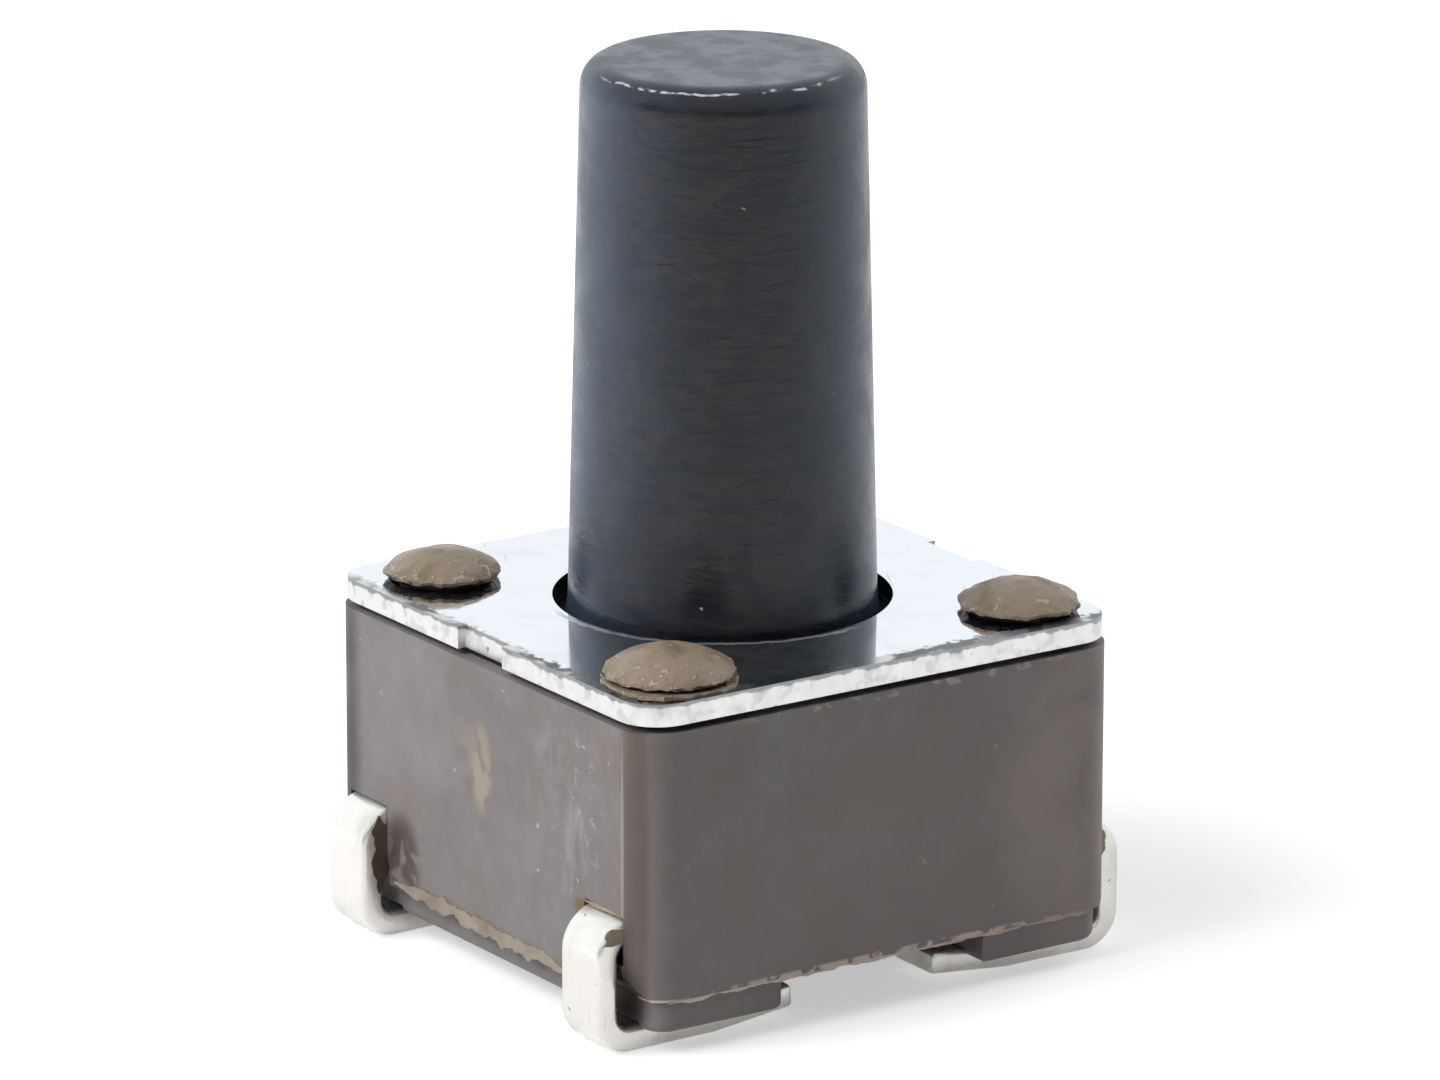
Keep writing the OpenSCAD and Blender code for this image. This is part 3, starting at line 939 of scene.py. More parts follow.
# Stains, scuffs and scrapes on the housing; some patches are painted shade and painted highlights, marked one by one.
HOUSING_MARKS_AND_PAINTED_LIGHT = (
    Patch((0.16, 0.12, 0.1), (-2.95, -2.6, 3.2), (0.5, 0.6, 0.5), 0.5, 2.0, (0.35, 0.6)),
    Patch((0.24, 0.215, 0.18), (-3.0, 0.3, 2.5), (0.1, 0.45, 0.4), 0.6, 2.5, (0.4, 0.6)),
    Patch((0.31, 0.265, 0.2), (-3.0, 0.05, 2.35), (0.1, 0.24, 0.58), 0.9, 5.0, (0.4, 0.54), 0.6),
    Patch((0.05, 0.036, 0.024), (-3.0, 0.0, 2.3), (0.1, 0.17, 0.46), 0.85, 7.0, (0.6, 0.66), 0.5),
    Patch((0.4, 0.385, 0.38), (-3.0, -1.55, 2.35), (0.1, 0.85, 1.15), 0.45, 2.6, (0.48, 0.75), 0.55),
    Patch((0.42, 0.4, 0.39), (-3.0, -1.75, 2.3), (0.1, 0.6, 1.1), 0.4, 10.0, (0.6, 0.66), 0.7),
    Patch((0.185, 0.158, 0.148), (-2.3, -3.0, 2.0), (1.0, 0.25, 2.6), 0.6, 2.2, (0.35, 0.6), 0.5),
    Patch((0.2, 0.172, 0.16), (0.8, -3.0, 1.2), (3.4, 0.1, 2.6), 0.7, 1.4, (0.2, 0.6)),
    Patch((0.28, 0.24, 0.23), (2.6, -3.0, 1.9), (1.4, 0.2, 2.4), 0.8, 1.1, (0.1, 0.6)),
    # Painted highlight: a pale line along the parting line of the front face, where the flash ledge catches the light.
    Patch((0.6, 0.5, 0.43), (0.0, -3.0, 0.61), (2.8, 0.1, 0.06), 0.9, 5.0, (0.44, 0.52)),
    # Painted shadow: dark on the left face beside the rear left lead.
    Patch((0.045, 0.032, 0.022), (-3.0, 1.58, 0.95), (0.1, 0.4, 0.6), 0.85, 3.0, (0.3, 0.5)),
    Patch((0.15, 0.105, 0.02), (-3.0, -1.82, 1.37), (0.1, 0.14, 0.12), 0.95, 6.0, (0.3, 0.45)),
    Patch((0.03, 0.015, 0.006), (-3.0, -1.96, 1.45), (0.1, 0.1, 0.06), 0.9, 8.0, (0.35, 0.5)),
    # Painted shade: a dark band down the rounded rear left corner.
    Patch((0.055, 0.049, 0.047), (-2.95, 2.82, 2.0), (0.5, 0.5, 5.0), 0.8, 1.0, (0.0, 0.1)),
    # Painted shade: a dark band down the rounded front left corner, where the lit left face turns to the dim front
    # face.
    Patch((0.1, 0.077, 0.066), (-2.95, -2.75, 2.0), (0.16, 0.24, 2.8), 0.75, 2.0, (0.1, 0.3)),
    Patch((0.235, 0.225, 0.23), (-3.0, 1.5, 2.6), (0.1, 1.2, 1.1), 0.6, 0.8, (0.2, 0.6)),
    Patch((0.225, 0.215, 0.22), (-3.0, -0.9, 1.4), (0.1, 1.0, 0.8), 0.5, 1.2, (0.3, 0.6)),
    # Painted shadow: near-black in the gap between the front left lead and the rail.
    Patch((0.02, 0.012, 0.008), (-2.93, -2.45, 0.55), (0.3, 0.5, 0.62), 0.95, 3.0, (0.0, 0.1)),
    # Painted highlight: the pale parting line round the front left corner.
    Patch((0.62, 0.52, 0.46), (-2.8, -2.88, 0.606), (0.4, 0.3, 0.03), 0.85, 7.0, (0.3, 0.4)),
    Patch((0.36, 0.31, 0.28), (0.4, -3.0, 3.45), (2.7, 0.1, 0.07), 0.9, 4.0, (0.52, 0.58)),
    # Painted highlight: a pale line down the front left corner, where the left face starts to round.
    Patch((0.36, 0.31, 0.28), (-2.99, -2.59, 2.1), (0.05, 0.035, 1.5), 0.6, 5.0, (0.36, 0.5), 0.2),
)
HOUSING_RESIN = MouldedResin("housing_resin", (0.202, 0.186, 0.186), 0.5, patches=HOUSING_MARKS_AND_PAINTED_LIGHT)
FLASH_RESIN = MouldedResin("flash_resin", (0.31, 0.265, 0.21), 0.6, depth=0.01, cloud_colour=(0.22, 0.175, 0.13))
# Painted highlight: the front and rear flash are painted far paler than the side flash, for the light their ledges
# catch from above.
FLASH_HIGHLIGHT_RESIN = MouldedResin("flash_resin_painted_highlight", (0.75, 0.63, 0.54), 0.6, depth=0.008, cloud_colour=(0.5, 0.4, 0.33))
FILM_RESIN = MouldedResin("lead_film_resin", (0.62, 0.55, 0.47), 0.6, depth=0.01, cloud_colour=(0.3, 0.235, 0.15))
# Painted shade: a near-black film for the shadowed gap beside the rear left lead's inner side.
FILM_SHADE_RESIN = MouldedResin("film_resin_painted_shade", (0.07, 0.052, 0.04), 0.6, depth=0.01,
                              cloud_colour=(0.12, 0.095, 0.07), mark_colour=(0.2, 0.17, 0.14))
HEAD_RESIN = StakedResin("staked_resin", (0.235, 0.18, 0.132), 0.42)
PLUNGER_RESIN = PlungerResin("plunger_resin", (0.003, 0.0045, 0.0085), 0.3)
COVER_STEEL = StampedSteel("cover_steel", (0.92, 0.94, 0.96), 0.05)
EDGE_STEEL = ShearedSteel("cover_edge_steel", (0.93, 0.93, 0.92), 0.32)
DOME_STEEL = BrightSteel("dome_steel", (0.78, 0.77, 0.74), 0.2)
LEAD_SILVER = SilverPlating("lead_silver", (0.96, 0.935, 0.89), 0.28)


# Sub-assemblies


@dataclass(frozen=True)
class LeadPlan:
    """Places and sizes of the leads that the housing and the terminals share, in millimetres."""

    row: float = 2.25
    width: float = 0.7
    thick: float = 0.25
    strip_z: float = 1.2
    wall: float = 3.0
    stand: float = 0.3
    shoulder: float = 0.2
    heel: float = 0.15
    foot_gap: float = 0.08
    play: float = 0.05
    tip_x: float = 0.87
    tip_start: float = 1.885
    tip_angle: float = 6.0

    @property
    def heel_centre(self) -> tuple[float, float]:
        """X and Z of the lower bend's centre."""
        outer = self.heel + self.thick
        return self.wall + self.stand - outer, outer

    @property
    def shoulder_centre(self) -> tuple[float, float]:
        """X and Z of the upper bend's centre."""
        return self.wall + self.stand - self.thick - self.shoulder, self.strip_z - self.shoulder


@dataclass
class Housing:
    """Moulded housing with its foot rails and its flash; the four heads that hold the cover down are built apart from
    it.
    """

    plan: LeadPlan
    half: float = 3.0
    corner: float = 0.45
    parting: float = 0.6
    rim: float = 3.47
    seat_step: float = 0.16
    seat_rise: float = 0.07
    rail_z: float = 0.24
    rail_x: tuple[float, float] = (1.28, 2.84)
    rail_y: float = 2.96
    rail_corner: float = 0.28
    rail_round: float = 0.096
    relief: float = 0.45
    cavity: float = 2.25
    floor_z: float = 1.55
    edge: float = 0.022
    past: float = 3.2
    mouth_play: float = 0.008
    mouth_lift: float = 0.006
    film_gap: float = 0.006

    def build(self) -> None:
        """Model the housing and its flash."""
        piece = self.blank()
        combine(piece, [self.rail(sign) for sign in (-1, 1)], "UNION")
        combine(piece, self.openings())
        soften(piece, self.edge, 2, 50)
        hand_over(piece, Body.HOUSING, [HOUSING_RESIN.material()], node="housing", flat=True)
        resins = {resin: resin.material() for resin in (FLASH_RESIN, FLASH_HIGHLIGHT_RESIN, FILM_RESIN, FILM_SHADE_RESIN)}
        for name, film in self.films().items():
            film.build(name, resins[film.resin])

    def blank(self) -> Object:
        """Model the block with its rounded corners and the step round the cover's seat.

        Returns:
            The block.
        """
        piece = block("housing_block", (-self.half, -self.half, self.parting), (self.half, self.half, self.rim))
        with editing(piece):
            pick(piece, Pick.EDGE, lambda _, way: abs(way.z) > 0.9)
            bpy.ops.mesh.bevel(offset=self.corner, segments=12, affect="EDGES")
            pick(piece, Pick.FACE, lambda _, normal: normal.z > 0.9)
            bpy.ops.mesh.inset(thickness=self.seat_step)
            bpy.ops.mesh.extrude_region_move(TRANSFORM_OT_translate={"value": (0, 0, self.seat_rise)})
        return piece

    def rail(self, sign: int) -> Object:
        """Model one foot rail with its rounded lower edges.

        Args:
            sign: The side in X.

        Returns:
            The rail, running a little way into the block.
        """
        inner, outer = sorted(sign * x for x in self.rail_x)
        rail = block("rail", (inner, -self.rail_y, self.rail_z), (outer, self.rail_y, self.parting + 0.2))
        with editing(rail):
            pick(rail, Pick.EDGE, lambda place, way: abs(way.z) > 0.9 and abs(place.x) > 2)
            bpy.ops.mesh.bevel(offset=self.rail_corner, segments=8, affect="EDGES")
            pick(rail, Pick.EDGE, lambda place, way: place.z < self.rail_z + 0.01)
            bpy.ops.mesh.bevel(offset=self.rail_round, segments=4, affect="EDGES")
        return rail

    def openings(self) -> list[Object]:
        """Model what is cut out: the round cavity, and the room for each lead.

        Returns:
            The cutting tools.
        """
        plan = self.plan
        tools = [rod("cavity", self.cavity, self.floor_z, self.rim + 1, sides=128)]
        rail = self.rail_x[1]
        relief_z = self.parting + math.sqrt((self.half - rail) * (2 * self.relief - self.half + rail))
        near, far = plan.row - plan.width / 2, plan.row + plan.width / 2
        centre_x, centre_z = plan.shoulder_centre
        for x, y in ((-1, -1), (-1, 1), (1, -1), (1, 1)):
            hollow = block("hollow", (rail, near - plan.play, self.parting - 0.2), (self.past, self.past, relief_z))
            drum = primitive("drum", bpy.ops.mesh.primitive_cylinder_add, vertices=96, radius=self.relief, depth=9,
                             location=(self.half - self.relief, 0, relief_z), rotation=(math.pi / 2, 0, 0))
            combine(hollow, [drum])
            pocket = block("pocket", (1, near - plan.play, 0),
                           (self.past, far + plan.play, plan.thick + plan.foot_gap))
            mouth = block("mouth", (centre_x, near - self.mouth_play, min(centre_z, relief_z)),
                          (self.past, far + self.mouth_play, plan.strip_z + plan.thick + self.mouth_lift))
            for tool in (hollow, pocket, mouth):
                tool.data.transform(Matrix.Diagonal((x, y, 1, 1)))
                if x * y < 0:
                    tool.data.flip_normals()
                tools.append(tool)
        return tools

    def films(self) -> dict[str, "FlashFilm"]:
        """List the films of flash along the parting line, and those that crept over the leads' sides.

        Returns:
            Each film by its name.
        """
        plan, z = self.plan, self.parting
        near = plan.row - plan.width / 2 - self.film_gap
        far = plan.row + plan.width / 2 + self.film_gap
        high, low, top = plan.strip_z + 0.16, plan.strip_z - 0.2, plan.strip_z + plan.thick + 0.035
        left, right, front, rear = (-1, 0, 0), (1, 0, 0), (0, -1, 0), (0, 1, 0)
        return {
            "flash_left": FlashFilm((-3.0, 1.74, z + 0.14), (-3.0, -1.66, z + 0.07), left,
                                    0.15, 0.6, 0.035, FLASH_RESIN),
            "flash_right": FlashFilm((3.0, -1.84, z + 0.03), (3.0, 1.84, z + 0.03), right,
                                     0.08, 0.4, 0.03, FLASH_RESIN),
            # The front and rear flash carry painted highlight in their paler resin.
            "flash_front": FlashFilm((-2.68, -2.986, z + 0.014), (2.68, -2.986, z + 0.014), front,
                                     0.048, 0.3, 0.0, FLASH_HIGHLIGHT_RESIN),
            "flash_rear": FlashFilm((2.68, 2.986, z + 0.014), (-2.68, 2.986, z + 0.014), rear,
                                    0.06, 0.3, 0.0, FLASH_HIGHLIGHT_RESIN),
            "lead_film_front_left": FlashFilm((-2.98, -far, high), (-2.98, -far, low + 0.18), front, 0.25, 0.03),
            "lead_film_top_left": FlashFilm((-3.0, -near, top), (-3.0, -far, top), left, 0.038, 0.2, 0.012),
            "lead_film_rear_left": FlashFilm((-2.98, far, low), (-2.98, far, high), rear, 0.12, 0.1),
            # This film is painted shade: it is dark because the gap beside the lead lies in shadow.
            "lead_film_inner_left_painted_shade": FlashFilm((-2.98, near, high), (-2.98, near, 0.5), front,
                                              0.19, 0.2, resin=FILM_SHADE_RESIN),
            "lead_film_front_right": FlashFilm((2.98, -far, low), (2.98, -far, high), front, 0.12, 0.1),
            "lead_film_rear_right": FlashFilm((2.98, far, high), (2.98, far, low), rear, 0.12, 0.1),
        }


@dataclass
class FlashFilm:
    """A thin film of resin, ragged along both edges and pinched at its ends."""

    start: Point
    end: Point
    outward: Point
    drop: float
    pinch: float
    proud: float = 0.004
    resin: MouldedResin = FILM_RESIN
    thick: float = 0.02
    step: float = 0.02
    swell: float = 0.012
    narrow: float = 0.12

    def build(self, name: str, resin: Material) -> None:
        """Model the film on a grid, tear its edges, and set it in place.

        Args:
            name: The piece's name.
            resin: Its material.
        """
        run = Vector(self.end) - Vector(self.start)
        steps = max(10, int(run.length / self.step))
        film = primitive(name, bpy.ops.mesh.primitive_grid_add, (run.length, self.drop, 1), size=1,
                         x_subdivisions=steps, y_subdivisions=6, location=(0, -self.drop / 2, 0))
        weigh(film, "free_edge", self.share)
        weigh(film, "fixed_edge", lambda place: 1 - 1.6 * self.share(place))
        weigh(film, "middle", lambda place: 0.3 + 0.7 * self.share(place))
        roughen(film, "free_edge", 0.22, self.drop * 1.6, "Y")
        roughen(film, "fixed_edge", 0.17, self.drop * 0.9, "Y")
        roughen(film, "middle", 0.3, self.proud + self.swell, "Z", depth=3)
        for side in (-1, 1):
            edge = side * run.length / 2
            with editing(film):
                pick(film, Pick.VERT, lambda place, _: abs(place.x - edge) < 0.6 * self.step)
                bpy.ops.transform.resize(value=(1, self.narrow, 1), center_override=(edge, -0.6 * self.drop, 0),
                                         use_proportional_edit=True, proportional_edit_falloff="SMOOTH",
                                         proportional_size=self.pinch)
        along, out = run.normalized(), Vector(self.outward)
        up = out.cross(along)
        place = Matrix((along, up, out)).transposed().to_4x4()
        place.translation = (Vector(self.start) + Vector(self.end)) / 2 + out * self.proud / 2
        shape(film, "SOLIDIFY", thickness=self.thick, offset=-1)
        film.data.transform(place)
        with editing(film):
            face_outwards()
        hand_over(film, Body.HOUSING, [resin], smooth=50)

    def share(self, place: Vector) -> float:
        """Give a point's share of the way from the fixed edge to the free one."""
        return -place.y / self.drop


@dataclass
class StakedHead:
    """A post that was melted and pressed down over the cover: a crown with a lifted ragged rim."""

    at: tuple[float, float]
    post: float = 0.45
    base_z: float = 3.45
    cover_z: float = 3.78
    radius: float = 0.64
    lift: float = 0.07
    lip: float = 0.03
    neck: float = 0.07
    sunk: float = 0.02
    pole: float = 0.004
    height: float = 0.33
    ledge: float = 0.0
    torn: float = 0.6
    sides: int = 160
    rings: int = 20

    def build(self, name: str, resin: Material) -> None:
        """Model the head, tear its rim, and add the ledge that squeezed out under it.

        Args:
            name: The piece's name.
            resin: Its material.
        """
        edge_z, top = self.cover_z + self.lift, self.cover_z + self.height
        foot = self.post + self.neck
        rim = [(foot + (self.radius - foot) * share, self.cover_z + self.lift * share ** 1.5)
               for share in (0.0, 0.35, 0.7, 0.9, 1.0)]
        crown = [(self.radius * q, edge_z + self.lip + (top - edge_z - self.lip) * (1 - q * q) ** 0.9)
                 for q in (math.cos(math.pi / 2 * step / self.rings) for step in range(self.rings))]
        profile = [(self.post, self.base_z), (self.post, self.cover_z - self.sunk), *rim, *crown, (self.pole, top)]
        head = turned(name, profile, self.sides)
        head.data.transform(Matrix.Translation((*self.at, 0)))
        middle = Vector(self.at)
        weigh(head, "rim", lambda place: (1.0 if place.z > self.cover_z + 0.01 else 0.0)
              * ((place.xy - middle).length / self.radius) ** 4)
        weigh(head, "crown", lambda place: (place.z - edge_z) / 0.05)
        for size, strength, axis in ((0.24, 0.11, "X"), (0.27, 0.11, "Y"), (0.2, 0.09 * self.torn, "Z"),
                                     (0.07, 0.035 * self.torn, "Z")):
            roughen(head, "rim", size, strength, axis)
        roughen(head, "crown", 0.34, 0.05, "Z", depth=3)
        if self.ledge:
            head = join([head, self.squeezed()])
        hand_over(head, Body.HOUSING, [resin], smooth=24)

    def squeezed(self) -> Object:
        """Model the ragged ledge that squeezed out under the head.

        Returns:
            The ledge.
        """
        reach, neck, middle = self.radius + self.ledge, self.post + 0.04, Vector(self.at)
        rings = ((neck, 0.001), (reach, 0.001), (reach - 0.01, 0.022), (reach - 0.12, 0.03), (neck, 0.025),
                 (self.pole, 0.025))
        ledge = turned("ledge", [(radius, self.cover_z + rise) for radius, rise in rings], self.sides)
        ledge.data.transform(Matrix.Translation((self.at[0] - 0.02, self.at[1] - 0.03, 0)))
        weigh(ledge, "lip", lambda place: ((place.xy - middle).length / reach) ** 6)
        for size, axis in ((0.31, "X"), (0.27, "Y")):
            roughen(ledge, "lip", size, 0.17, axis, depth=5)
        return ledge


@dataclass
class CoverPlate:
    """Bright sheet-steel cover, held down by the four heads."""

    half: float = 2.98
    corner: float = 0.45
    low_z: float = 3.54
    high_z: float = 3.78
    hole: float = 1.79
    post_hole: float = 0.5
    post_at: float = 2.18
    notch: tuple[float, float, float] = (0.84, 0.1, 0.09)
    edge: float = 0.035

    def build(self) -> None:
        """Model the cover from a blank, as the stamping tool cuts it."""
        plate = block("cover_sheet", (-self.half, -self.half, self.low_z), (self.half, self.half, self.high_z))
        with editing(plate):
            pick(plate, Pick.EDGE, lambda _, way: abs(way.z) > 0.9)
            bpy.ops.mesh.bevel(offset=self.corner, segments=14, affect="EDGES")
        low, high = self.low_z - 1, self.high_z + 1
        tools = [rod("centre_punch", self.hole, low, high, sides=160)]
        tools += [rod("post_punch", self.post_hole, low, high, (x * self.post_at, y * self.post_at), 64)
                  for x in (-1, 1) for y in (-1, 1)]
        length, depth, shift = self.notch
        for sign in (-1, 1):
            x = sorted((sign * (self.half - depth), sign * (self.half + 1)))
            y = -sign * shift
            tools.append(block("notch_punch", (x[0], y - length / 2, low), (x[1], y + length / 2, high)))
        combine(plate, tools)
        soften(plate, self.edge, 3, 50)
        for face in plate.data.polygons:
            face.material_index = 0 if abs(face.normal.z) > 0.95 else 1
        hand_over(plate, Body.HOUSING, [COVER_STEEL.material(), EDGE_STEEL.material()], node="cover_plate",
                  smooth=40, flat=True)


@dataclass
class Plunger:
    """Tall plunger with its flange and the boss that presses the dome."""

    low_z: float = 1.91
    high_z: float = 9.55
    tip_round: float = 0.25
    tip_stretch: float = 1.2
    draft: float = 1.45
    foot: tuple[float, float] = (1.63, 3.78)
    flange: tuple[float, float, float] = (2.1, 3.01, 3.51)
    boss: float = 0.65
    chamfer: float = 0.15
    fillet: float = 0.06
    ease: float = 0.03
    neck: float = 0.3
    flare: float = 0.1
    straight_z: float = 4.6
    sides: int = 144

    def radius(self, z: float) -> float:
        """Give the stem's radius at a height."""
        return self.foot[0] - (z - self.foot[1]) * math.tan(math.radians(self.draft))

    def profile(self) -> list[tuple[float, float]]:
        """List the rings from the boss up to the tip.

        Returns:
            Radius and height of each ring.
        """
        wide, flange_z, flange_top = self.flange
        rings = [(self.boss - self.chamfer, self.low_z), (self.boss, self.low_z + self.chamfer),
                 (self.boss, flange_z - self.fillet), (self.boss + self.fillet, flange_z),
                 (wide - self.ease, flange_z), (wide, flange_z + self.ease),
                 (wide, flange_top - self.ease), (wide - self.ease, flange_top)]
        for angle in (math.pi / 2 * step / 5 for step in range(6)):
            rings.append((self.radius(flange_top + self.neck) + self.flare * (1 - math.sin(angle)),
                          flange_top + self.neck * (1 - math.cos(angle))))
        rise = self.tip_round * self.tip_stretch
        start = self.high_z - rise
        rings += [(self.radius(z), z)
                  for z in (self.straight_z + (start - self.straight_z) * step / 6 for step in range(7))]
        centre = self.radius(start) - self.tip_round
        rings += [(centre + self.tip_round * math.cos(angle), start + rise * math.sin(angle))
                  for angle in (math.pi / 2 * step / 12 for step in range(1, 13))]
        rings += [(centre * share, self.high_z) for share in (0.97, 0.7, 0.35)]
        return rings + [(0.01, self.high_z)]

    def build(self) -> None:
        """Model the plunger as one turned piece."""
        piece = turned("plunger_stem", self.profile(), self.sides)
        hand_over(piece, Body.PLUNGER, [PLUNGER_RESIN.material()], node="plunger", smooth=35)


@dataclass
class SnapDome:
    """Thin domed spring that clicks when the boss presses it."""

    radius: float = 2.0
    rim_z: float = 1.58
    rise: float = 0.26
    thick: float = 0.06
    sides: int = 96
    rings: int = 18

    def build(self) -> None:
        """Model the dome as a turned shell, with a mesh of its own."""
        sphere = (self.radius ** 2 + self.rise ** 2) / (2 * self.rise)
        centre = self.rim_z + self.rise - sphere
        span = math.asin(self.radius / sphere)
        angles = [span * step / self.rings for step in range(self.rings + 1)]
        inner = [(max(sphere * math.sin(a), 0.01), centre + sphere * math.cos(a)) for a in angles]
        outer = [(sphere * math.sin(a), centre + (sphere + self.thick) * math.cos(a)) for a in reversed(angles[1:])]
        piece = turned("snap_dome", [*inner, *outer, (0.01, centre + sphere + self.thick)], self.sides)
        hand_over(piece, Body.HOUSING, [DOME_STEEL.material()], node="contact_dome")
        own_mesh(piece)


@dataclass
class Terminal:
    """Stamped strip with two J-shaped leads and the contacts that it carries inside the housing."""

    plan: LeadPlan
    side: Side
    edge: float = 0.05
    contact_edge: float = 0.015
    tongue: float = 0.8
    button: float = 0.7
    button_z: float = 1.6
    arm: float = 0.5
    pad: float = 0.4
    pad_z: float = 1.58
    pad_at: tuple[float, float] = (1.532, 1.286)

    def build(self) -> None:
        """Model the terminal, and join its strip, leads and contacts."""
        lead = self.lead()
        y = self.side.value * self.plan.row
        turn = Matrix.Rotation(math.pi, 4, "Z")
        leads = [repeated(lead, "lead", Matrix.Translation((0, y, 0))),
                 repeated(lead, "lead", Matrix.Translation((0, y, 0)) @ turn)]
        bpy.data.objects.remove(lead)
        inside = self.centre_contact() if self.side is Side.FRONT else self.rim_contacts()
        for part in inside:
            soften(part, self.contact_edge, 2, 40)
        piece = join([*leads, *inside])
        name = self.side.name.lower()
        piece.name = f"terminal_strip_{name}"
        hand_over(piece, Body.HOUSING, [LEAD_SILVER.material()], node=f"terminal_{name}",
                  smooth=40, flat=True)

    def lead(self) -> Object:
        """Bend one lead on the +X side: half of the strip, shoulder, leg, heel, foot and tip.

        Returns:
            The lead, centred on y = 0.
        """
        plan = self.plan
        tip = math.radians(plan.tip_angle)
        lead = primitive("lead", bpy.ops.mesh.primitive_plane_add, (plan.thick, plan.width, 1), size=1,
                         location=(-0.1, 0, plan.strip_z + plan.thick / 2), rotation=(0, math.pi / 2, 0))
        shoulder_x, shoulder_z = plan.shoulder_centre
        heel_x, heel_z = plan.heel_centre

        def run(x: float, z: float) -> None:
            """Extrude the open end straight on."""
            bpy.ops.mesh.extrude_region_move(TRANSFORM_OT_translate={"value": (x, 0, z)})

        def bend(steps: int, angle: float, x: float, z: float) -> None:
            """Spin the open end round an axis along Y."""
            bpy.ops.mesh.spin(steps=steps, angle=angle, center=(x, 0, z), axis=(0, -1, 0))

        with editing(lead):
            bpy.ops.mesh.select_all(action="SELECT")
            run(shoulder_x + 0.1, 0)
            bend(16, math.pi / 2, shoulder_x, shoulder_z)
            run(0, heel_z - shoulder_z)
            bend(16, math.pi / 2, heel_x, heel_z)
            run(plan.tip_start - heel_x, 0)
            bend(3, tip, plan.tip_start, plan.thick + 0.3)
            length = (plan.tip_start - plan.tip_x) - (plan.thick + 0.3) * math.sin(tip)
            run(-length * math.cos(tip), length * math.sin(tip))
            face_outwards()
        soften(lead, self.edge, 3, 60)
        return lead

    def centre_contact(self) -> list[Object]:
        """Model the tongue and the centre contact.

        Returns:
            The parts.
        """
        low, high, row = self.plan.strip_z, self.plan.strip_z + self.plan.thick, self.plan.row
        return [block("tongue", (-self.tongue / 2, -row, low), (self.tongue / 2, 0, high)),
                rod("tongue_end", self.tongue / 2, low, high, sides=48),
                rod("button", self.button / 2, low, self.button_z, sides=48)]

    def rim_contacts(self) -> list[Object]:
        """Model the two arms and the four rim contacts.

        Returns:
            The parts.
        """
        low, high, row = self.plan.strip_z, self.plan.strip_z + self.plan.thick, self.plan.row
        x, y = self.pad_at
        parts = []
        for sign in (-1, 1):
            parts.append(block("arm", (sign * x - self.arm / 2, -y, low), (sign * x + self.arm / 2, row, high)))
            parts.append(rod("arm_end", self.arm / 2, low, high, (sign * x, -y), 40))
            parts += [rod("pad", self.pad / 2, low, self.pad_z, (sign * x, end * y), 40) for end in (-1, 1)]
        return parts


# Studio


@dataclass(frozen=True)
class Lamp:
    """One soft rectangular lamp."""

    name: str
    at: Point
    size: tuple[float, float]
    energy: float
    aim: Point = (0, 0, 0.004)

    def hang(self, along: Point) -> None:
        """Hang the lamp and turn it to the object.

        Args:
            along: The direction that its long side follows.
        """
        data = bpy.data.lights.new(self.name, "AREA")
        data.shape, data.energy = "RECTANGLE", self.energy
        data.size, data.size_y = self.size
        lamp = bpy.data.objects.new(self.name, data)
        bpy.context.collection.objects.link(lamp)
        lamp.visible_glossy = False
        back = (Vector(self.at) - Vector(self.aim)).normalized()
        side = (Vector(along) - back * back.dot(Vector(along))).normalized()
        turn = Matrix((side, back.cross(side), back)).transposed()
        lamp.matrix_world = Matrix.Translation(self.at) @ turn.to_4x4()


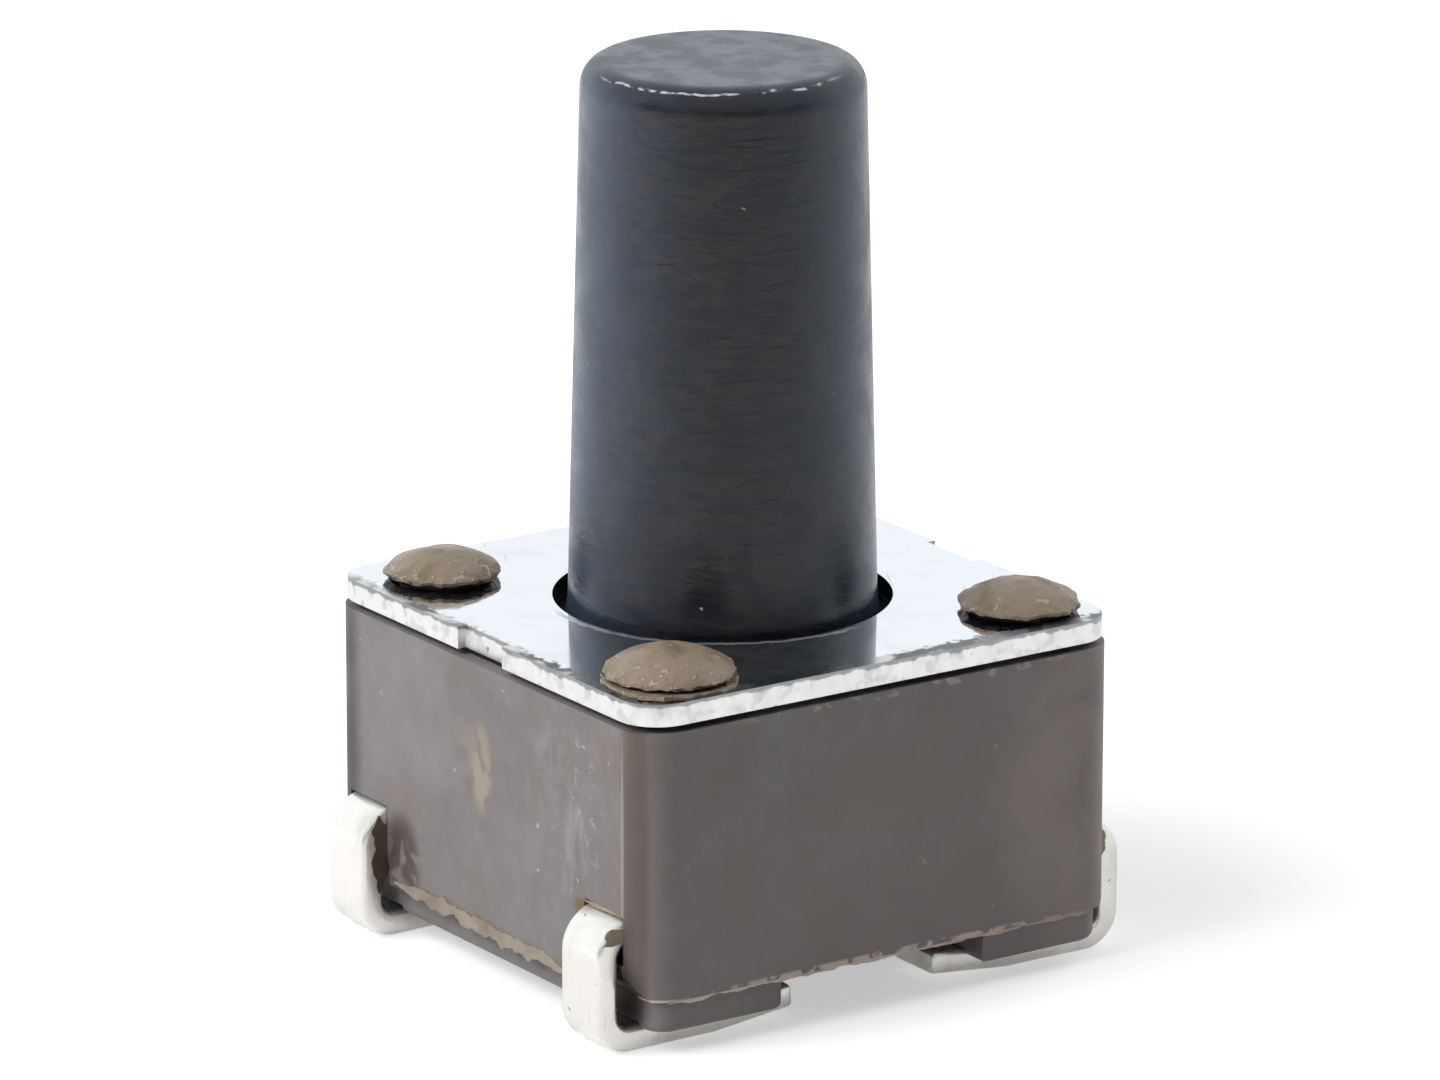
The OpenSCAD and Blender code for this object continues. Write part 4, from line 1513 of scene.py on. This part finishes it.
@dataclass
class Studio:
    """Pale floor, white surroundings, soft lamps and the camera."""

    camera_at: Point = (-0.05376, -0.07892, 0.03240)
    right: Point = (0.8269, -0.5624, 0.0015)
    up: Point = (0.1573, 0.2338, 0.9595)
    forward: Point = (0.5399, 0.7931, -0.2818)
    lens: float = 36 * 9482.66 / 1440
    floor_colour: Colour = (0.62, 0.62, 0.62)
    floor_lift: float = 0.5
    tone: Clouds = Clouds(2.0, 0.3, 0.7, detail=2.0)
    surround: float = 0.4
    dim_side: Point = (0.35, -0.92, 0.15)
    dark_side: Point = (-0.461, -0.677, 0.574)
    mirrored_white: Colour = (0.93, 0.97, 1.0)
    mirrored_dark: Colour = (0.02, 0.02, 0.025)
    lamps: tuple[Lamp, ...] = (
        Lamp("key", (-0.113, 0.02, 0.113), (0.12, 0.12), 0.3),
        Lamp("fill", (0.13, 0.0, 0.09), (0.12, 0.12), 0.12),
    )

    def build(self) -> None:
        """Set up the floor, the surroundings, the lamps and the camera."""
        self.lay_floor()
        self.surround_object()
        for lamp in self.lamps:
            lamp.hang(self.right)
        self.aim_camera()
        bpy.context.scene.view_settings.view_transform = "Standard"

    def lay_floor(self) -> None:
        """Lay the floor that the leads stand on."""
        floor = primitive("floor", bpy.ops.mesh.primitive_plane_add, size=1.2)
        material = bpy.data.materials.new("floor_paint")
        material.use_nodes = True
        wiring = Wiring(material.node_tree)
        shader = material.node_tree.nodes["Principled BSDF"]
        shader.inputs["Specular IOR Level"].default_value = 0.0
        tone = self.tone.lay(wiring, wiring.place(scale=60.0))
        wiring.feed(shader.inputs["Base Color"],
                    wiring.mix(tone, self.floor_colour, tuple(0.985 * part for part in self.floor_colour)))
        shader.inputs["Roughness"].default_value = 0.9
        shader.inputs["Emission Color"].default_value = (1.0, 1.0, 1.0, 1.0)
        rays = wiring.add("LightPath")
        seen = wiring.most(rays.outputs["Is Camera Ray"], wiring.times(rays.outputs["Is Glossy Ray"], 0.5))
        wiring.feed(shader.inputs["Emission Strength"], wiring.times(seen, self.floor_lift))
        floor.data.materials.append(material)

    def surround_object(self) -> None:
        """Make the white surroundings, dim in front of the object, and low down dark in mirrors."""
        world = bpy.data.worlds.new("studio")
        bpy.context.scene.world = world
        world.use_nodes = True
        wiring = Wiring(world.node_tree)
        view = wiring.add("TexCoord").outputs["Generated"]
        level = wiring.between(wiring.measure("DOT_PRODUCT", view, self.dim_side), 0.0, 0.9, 1.0, 0.15)
        shade = wiring.add("CombineColor", {0: level, 1: level, 2: level}).outputs[0]
        dark = wiring.times(wiring.between(wiring.measure("DOT_PRODUCT", view, self.dark_side), 0.0, 0.52),
                            wiring.between(wiring.parts(view)[2], 0.12, 0.42, 1.0, 0.25))
        mirrored = wiring.mix(dark, self.mirrored_white, self.mirrored_dark)
        rays = wiring.add("LightPath")
        light = wiring.add("Background", {0: shade, 1: self.surround})
        gloss = wiring.add("Background", {0: mirrored, 1: 1.0})
        white = wiring.add("Background", {0: (1.0, 1.0, 1.0), 1: 1.0})
        both = wiring.add("MixShader", {0: rays.outputs["Is Glossy Ray"], 1: light.outputs[0], 2: gloss.outputs[0]})
        seen = wiring.add("MixShader", {0: rays.outputs["Is Camera Ray"], 1: both.outputs[0], 2: white.outputs[0]})
        wiring.feed(world.node_tree.nodes["World Output"].inputs[0], seen.outputs[0])

    def aim_camera(self) -> None:
        """Create the camera at the photograph's viewing angle."""
        data = bpy.data.cameras.new("camera")
        data.sensor_width, data.lens = 36.0, self.lens
        data.clip_start, data.clip_end = 0.001, 5.0
        camera = bpy.data.objects.new("camera", data)
        bpy.context.collection.objects.link(camera)
        turn = Matrix((self.right, self.up, tuple(-part for part in self.forward))).transposed()
        camera.matrix_world = Matrix.Translation(self.camera_at) @ turn.to_4x4()
        bpy.context.scene.camera = camera


def heads() -> dict[str, StakedHead]:
    """List the four heads, each spread a little differently."""
    return {
        "staked_head_front_left": StakedHead((-2.15, -2.20), radius=0.685, height=0.353, ledge=0.03, torn=1.0),
        "staked_head_front_right": StakedHead((2.24, -2.22), radius=0.64),
        "staked_head_rear_left": StakedHead((-2.12, 2.14), radius=0.615, height=0.317),
        "staked_head_rear_right": StakedHead((2.22, 2.15), radius=0.64),
    }


def main() -> None:
    """Build the model, dress it, and set up its studio."""
    logging.basicConfig(level=logging.INFO, format="%(name)s %(message)s")
    plan = LeadPlan()
    Housing(plan).build()
    resin = HEAD_RESIN.material()
    for name, head in heads().items():
        head.build(name, resin)
    CoverPlate().build()
    Plunger().build()
    SnapDome().build()
    for side in Side:
        Terminal(plan, side).build()
    Studio().build()


if __name__ == "__main__":
    main()
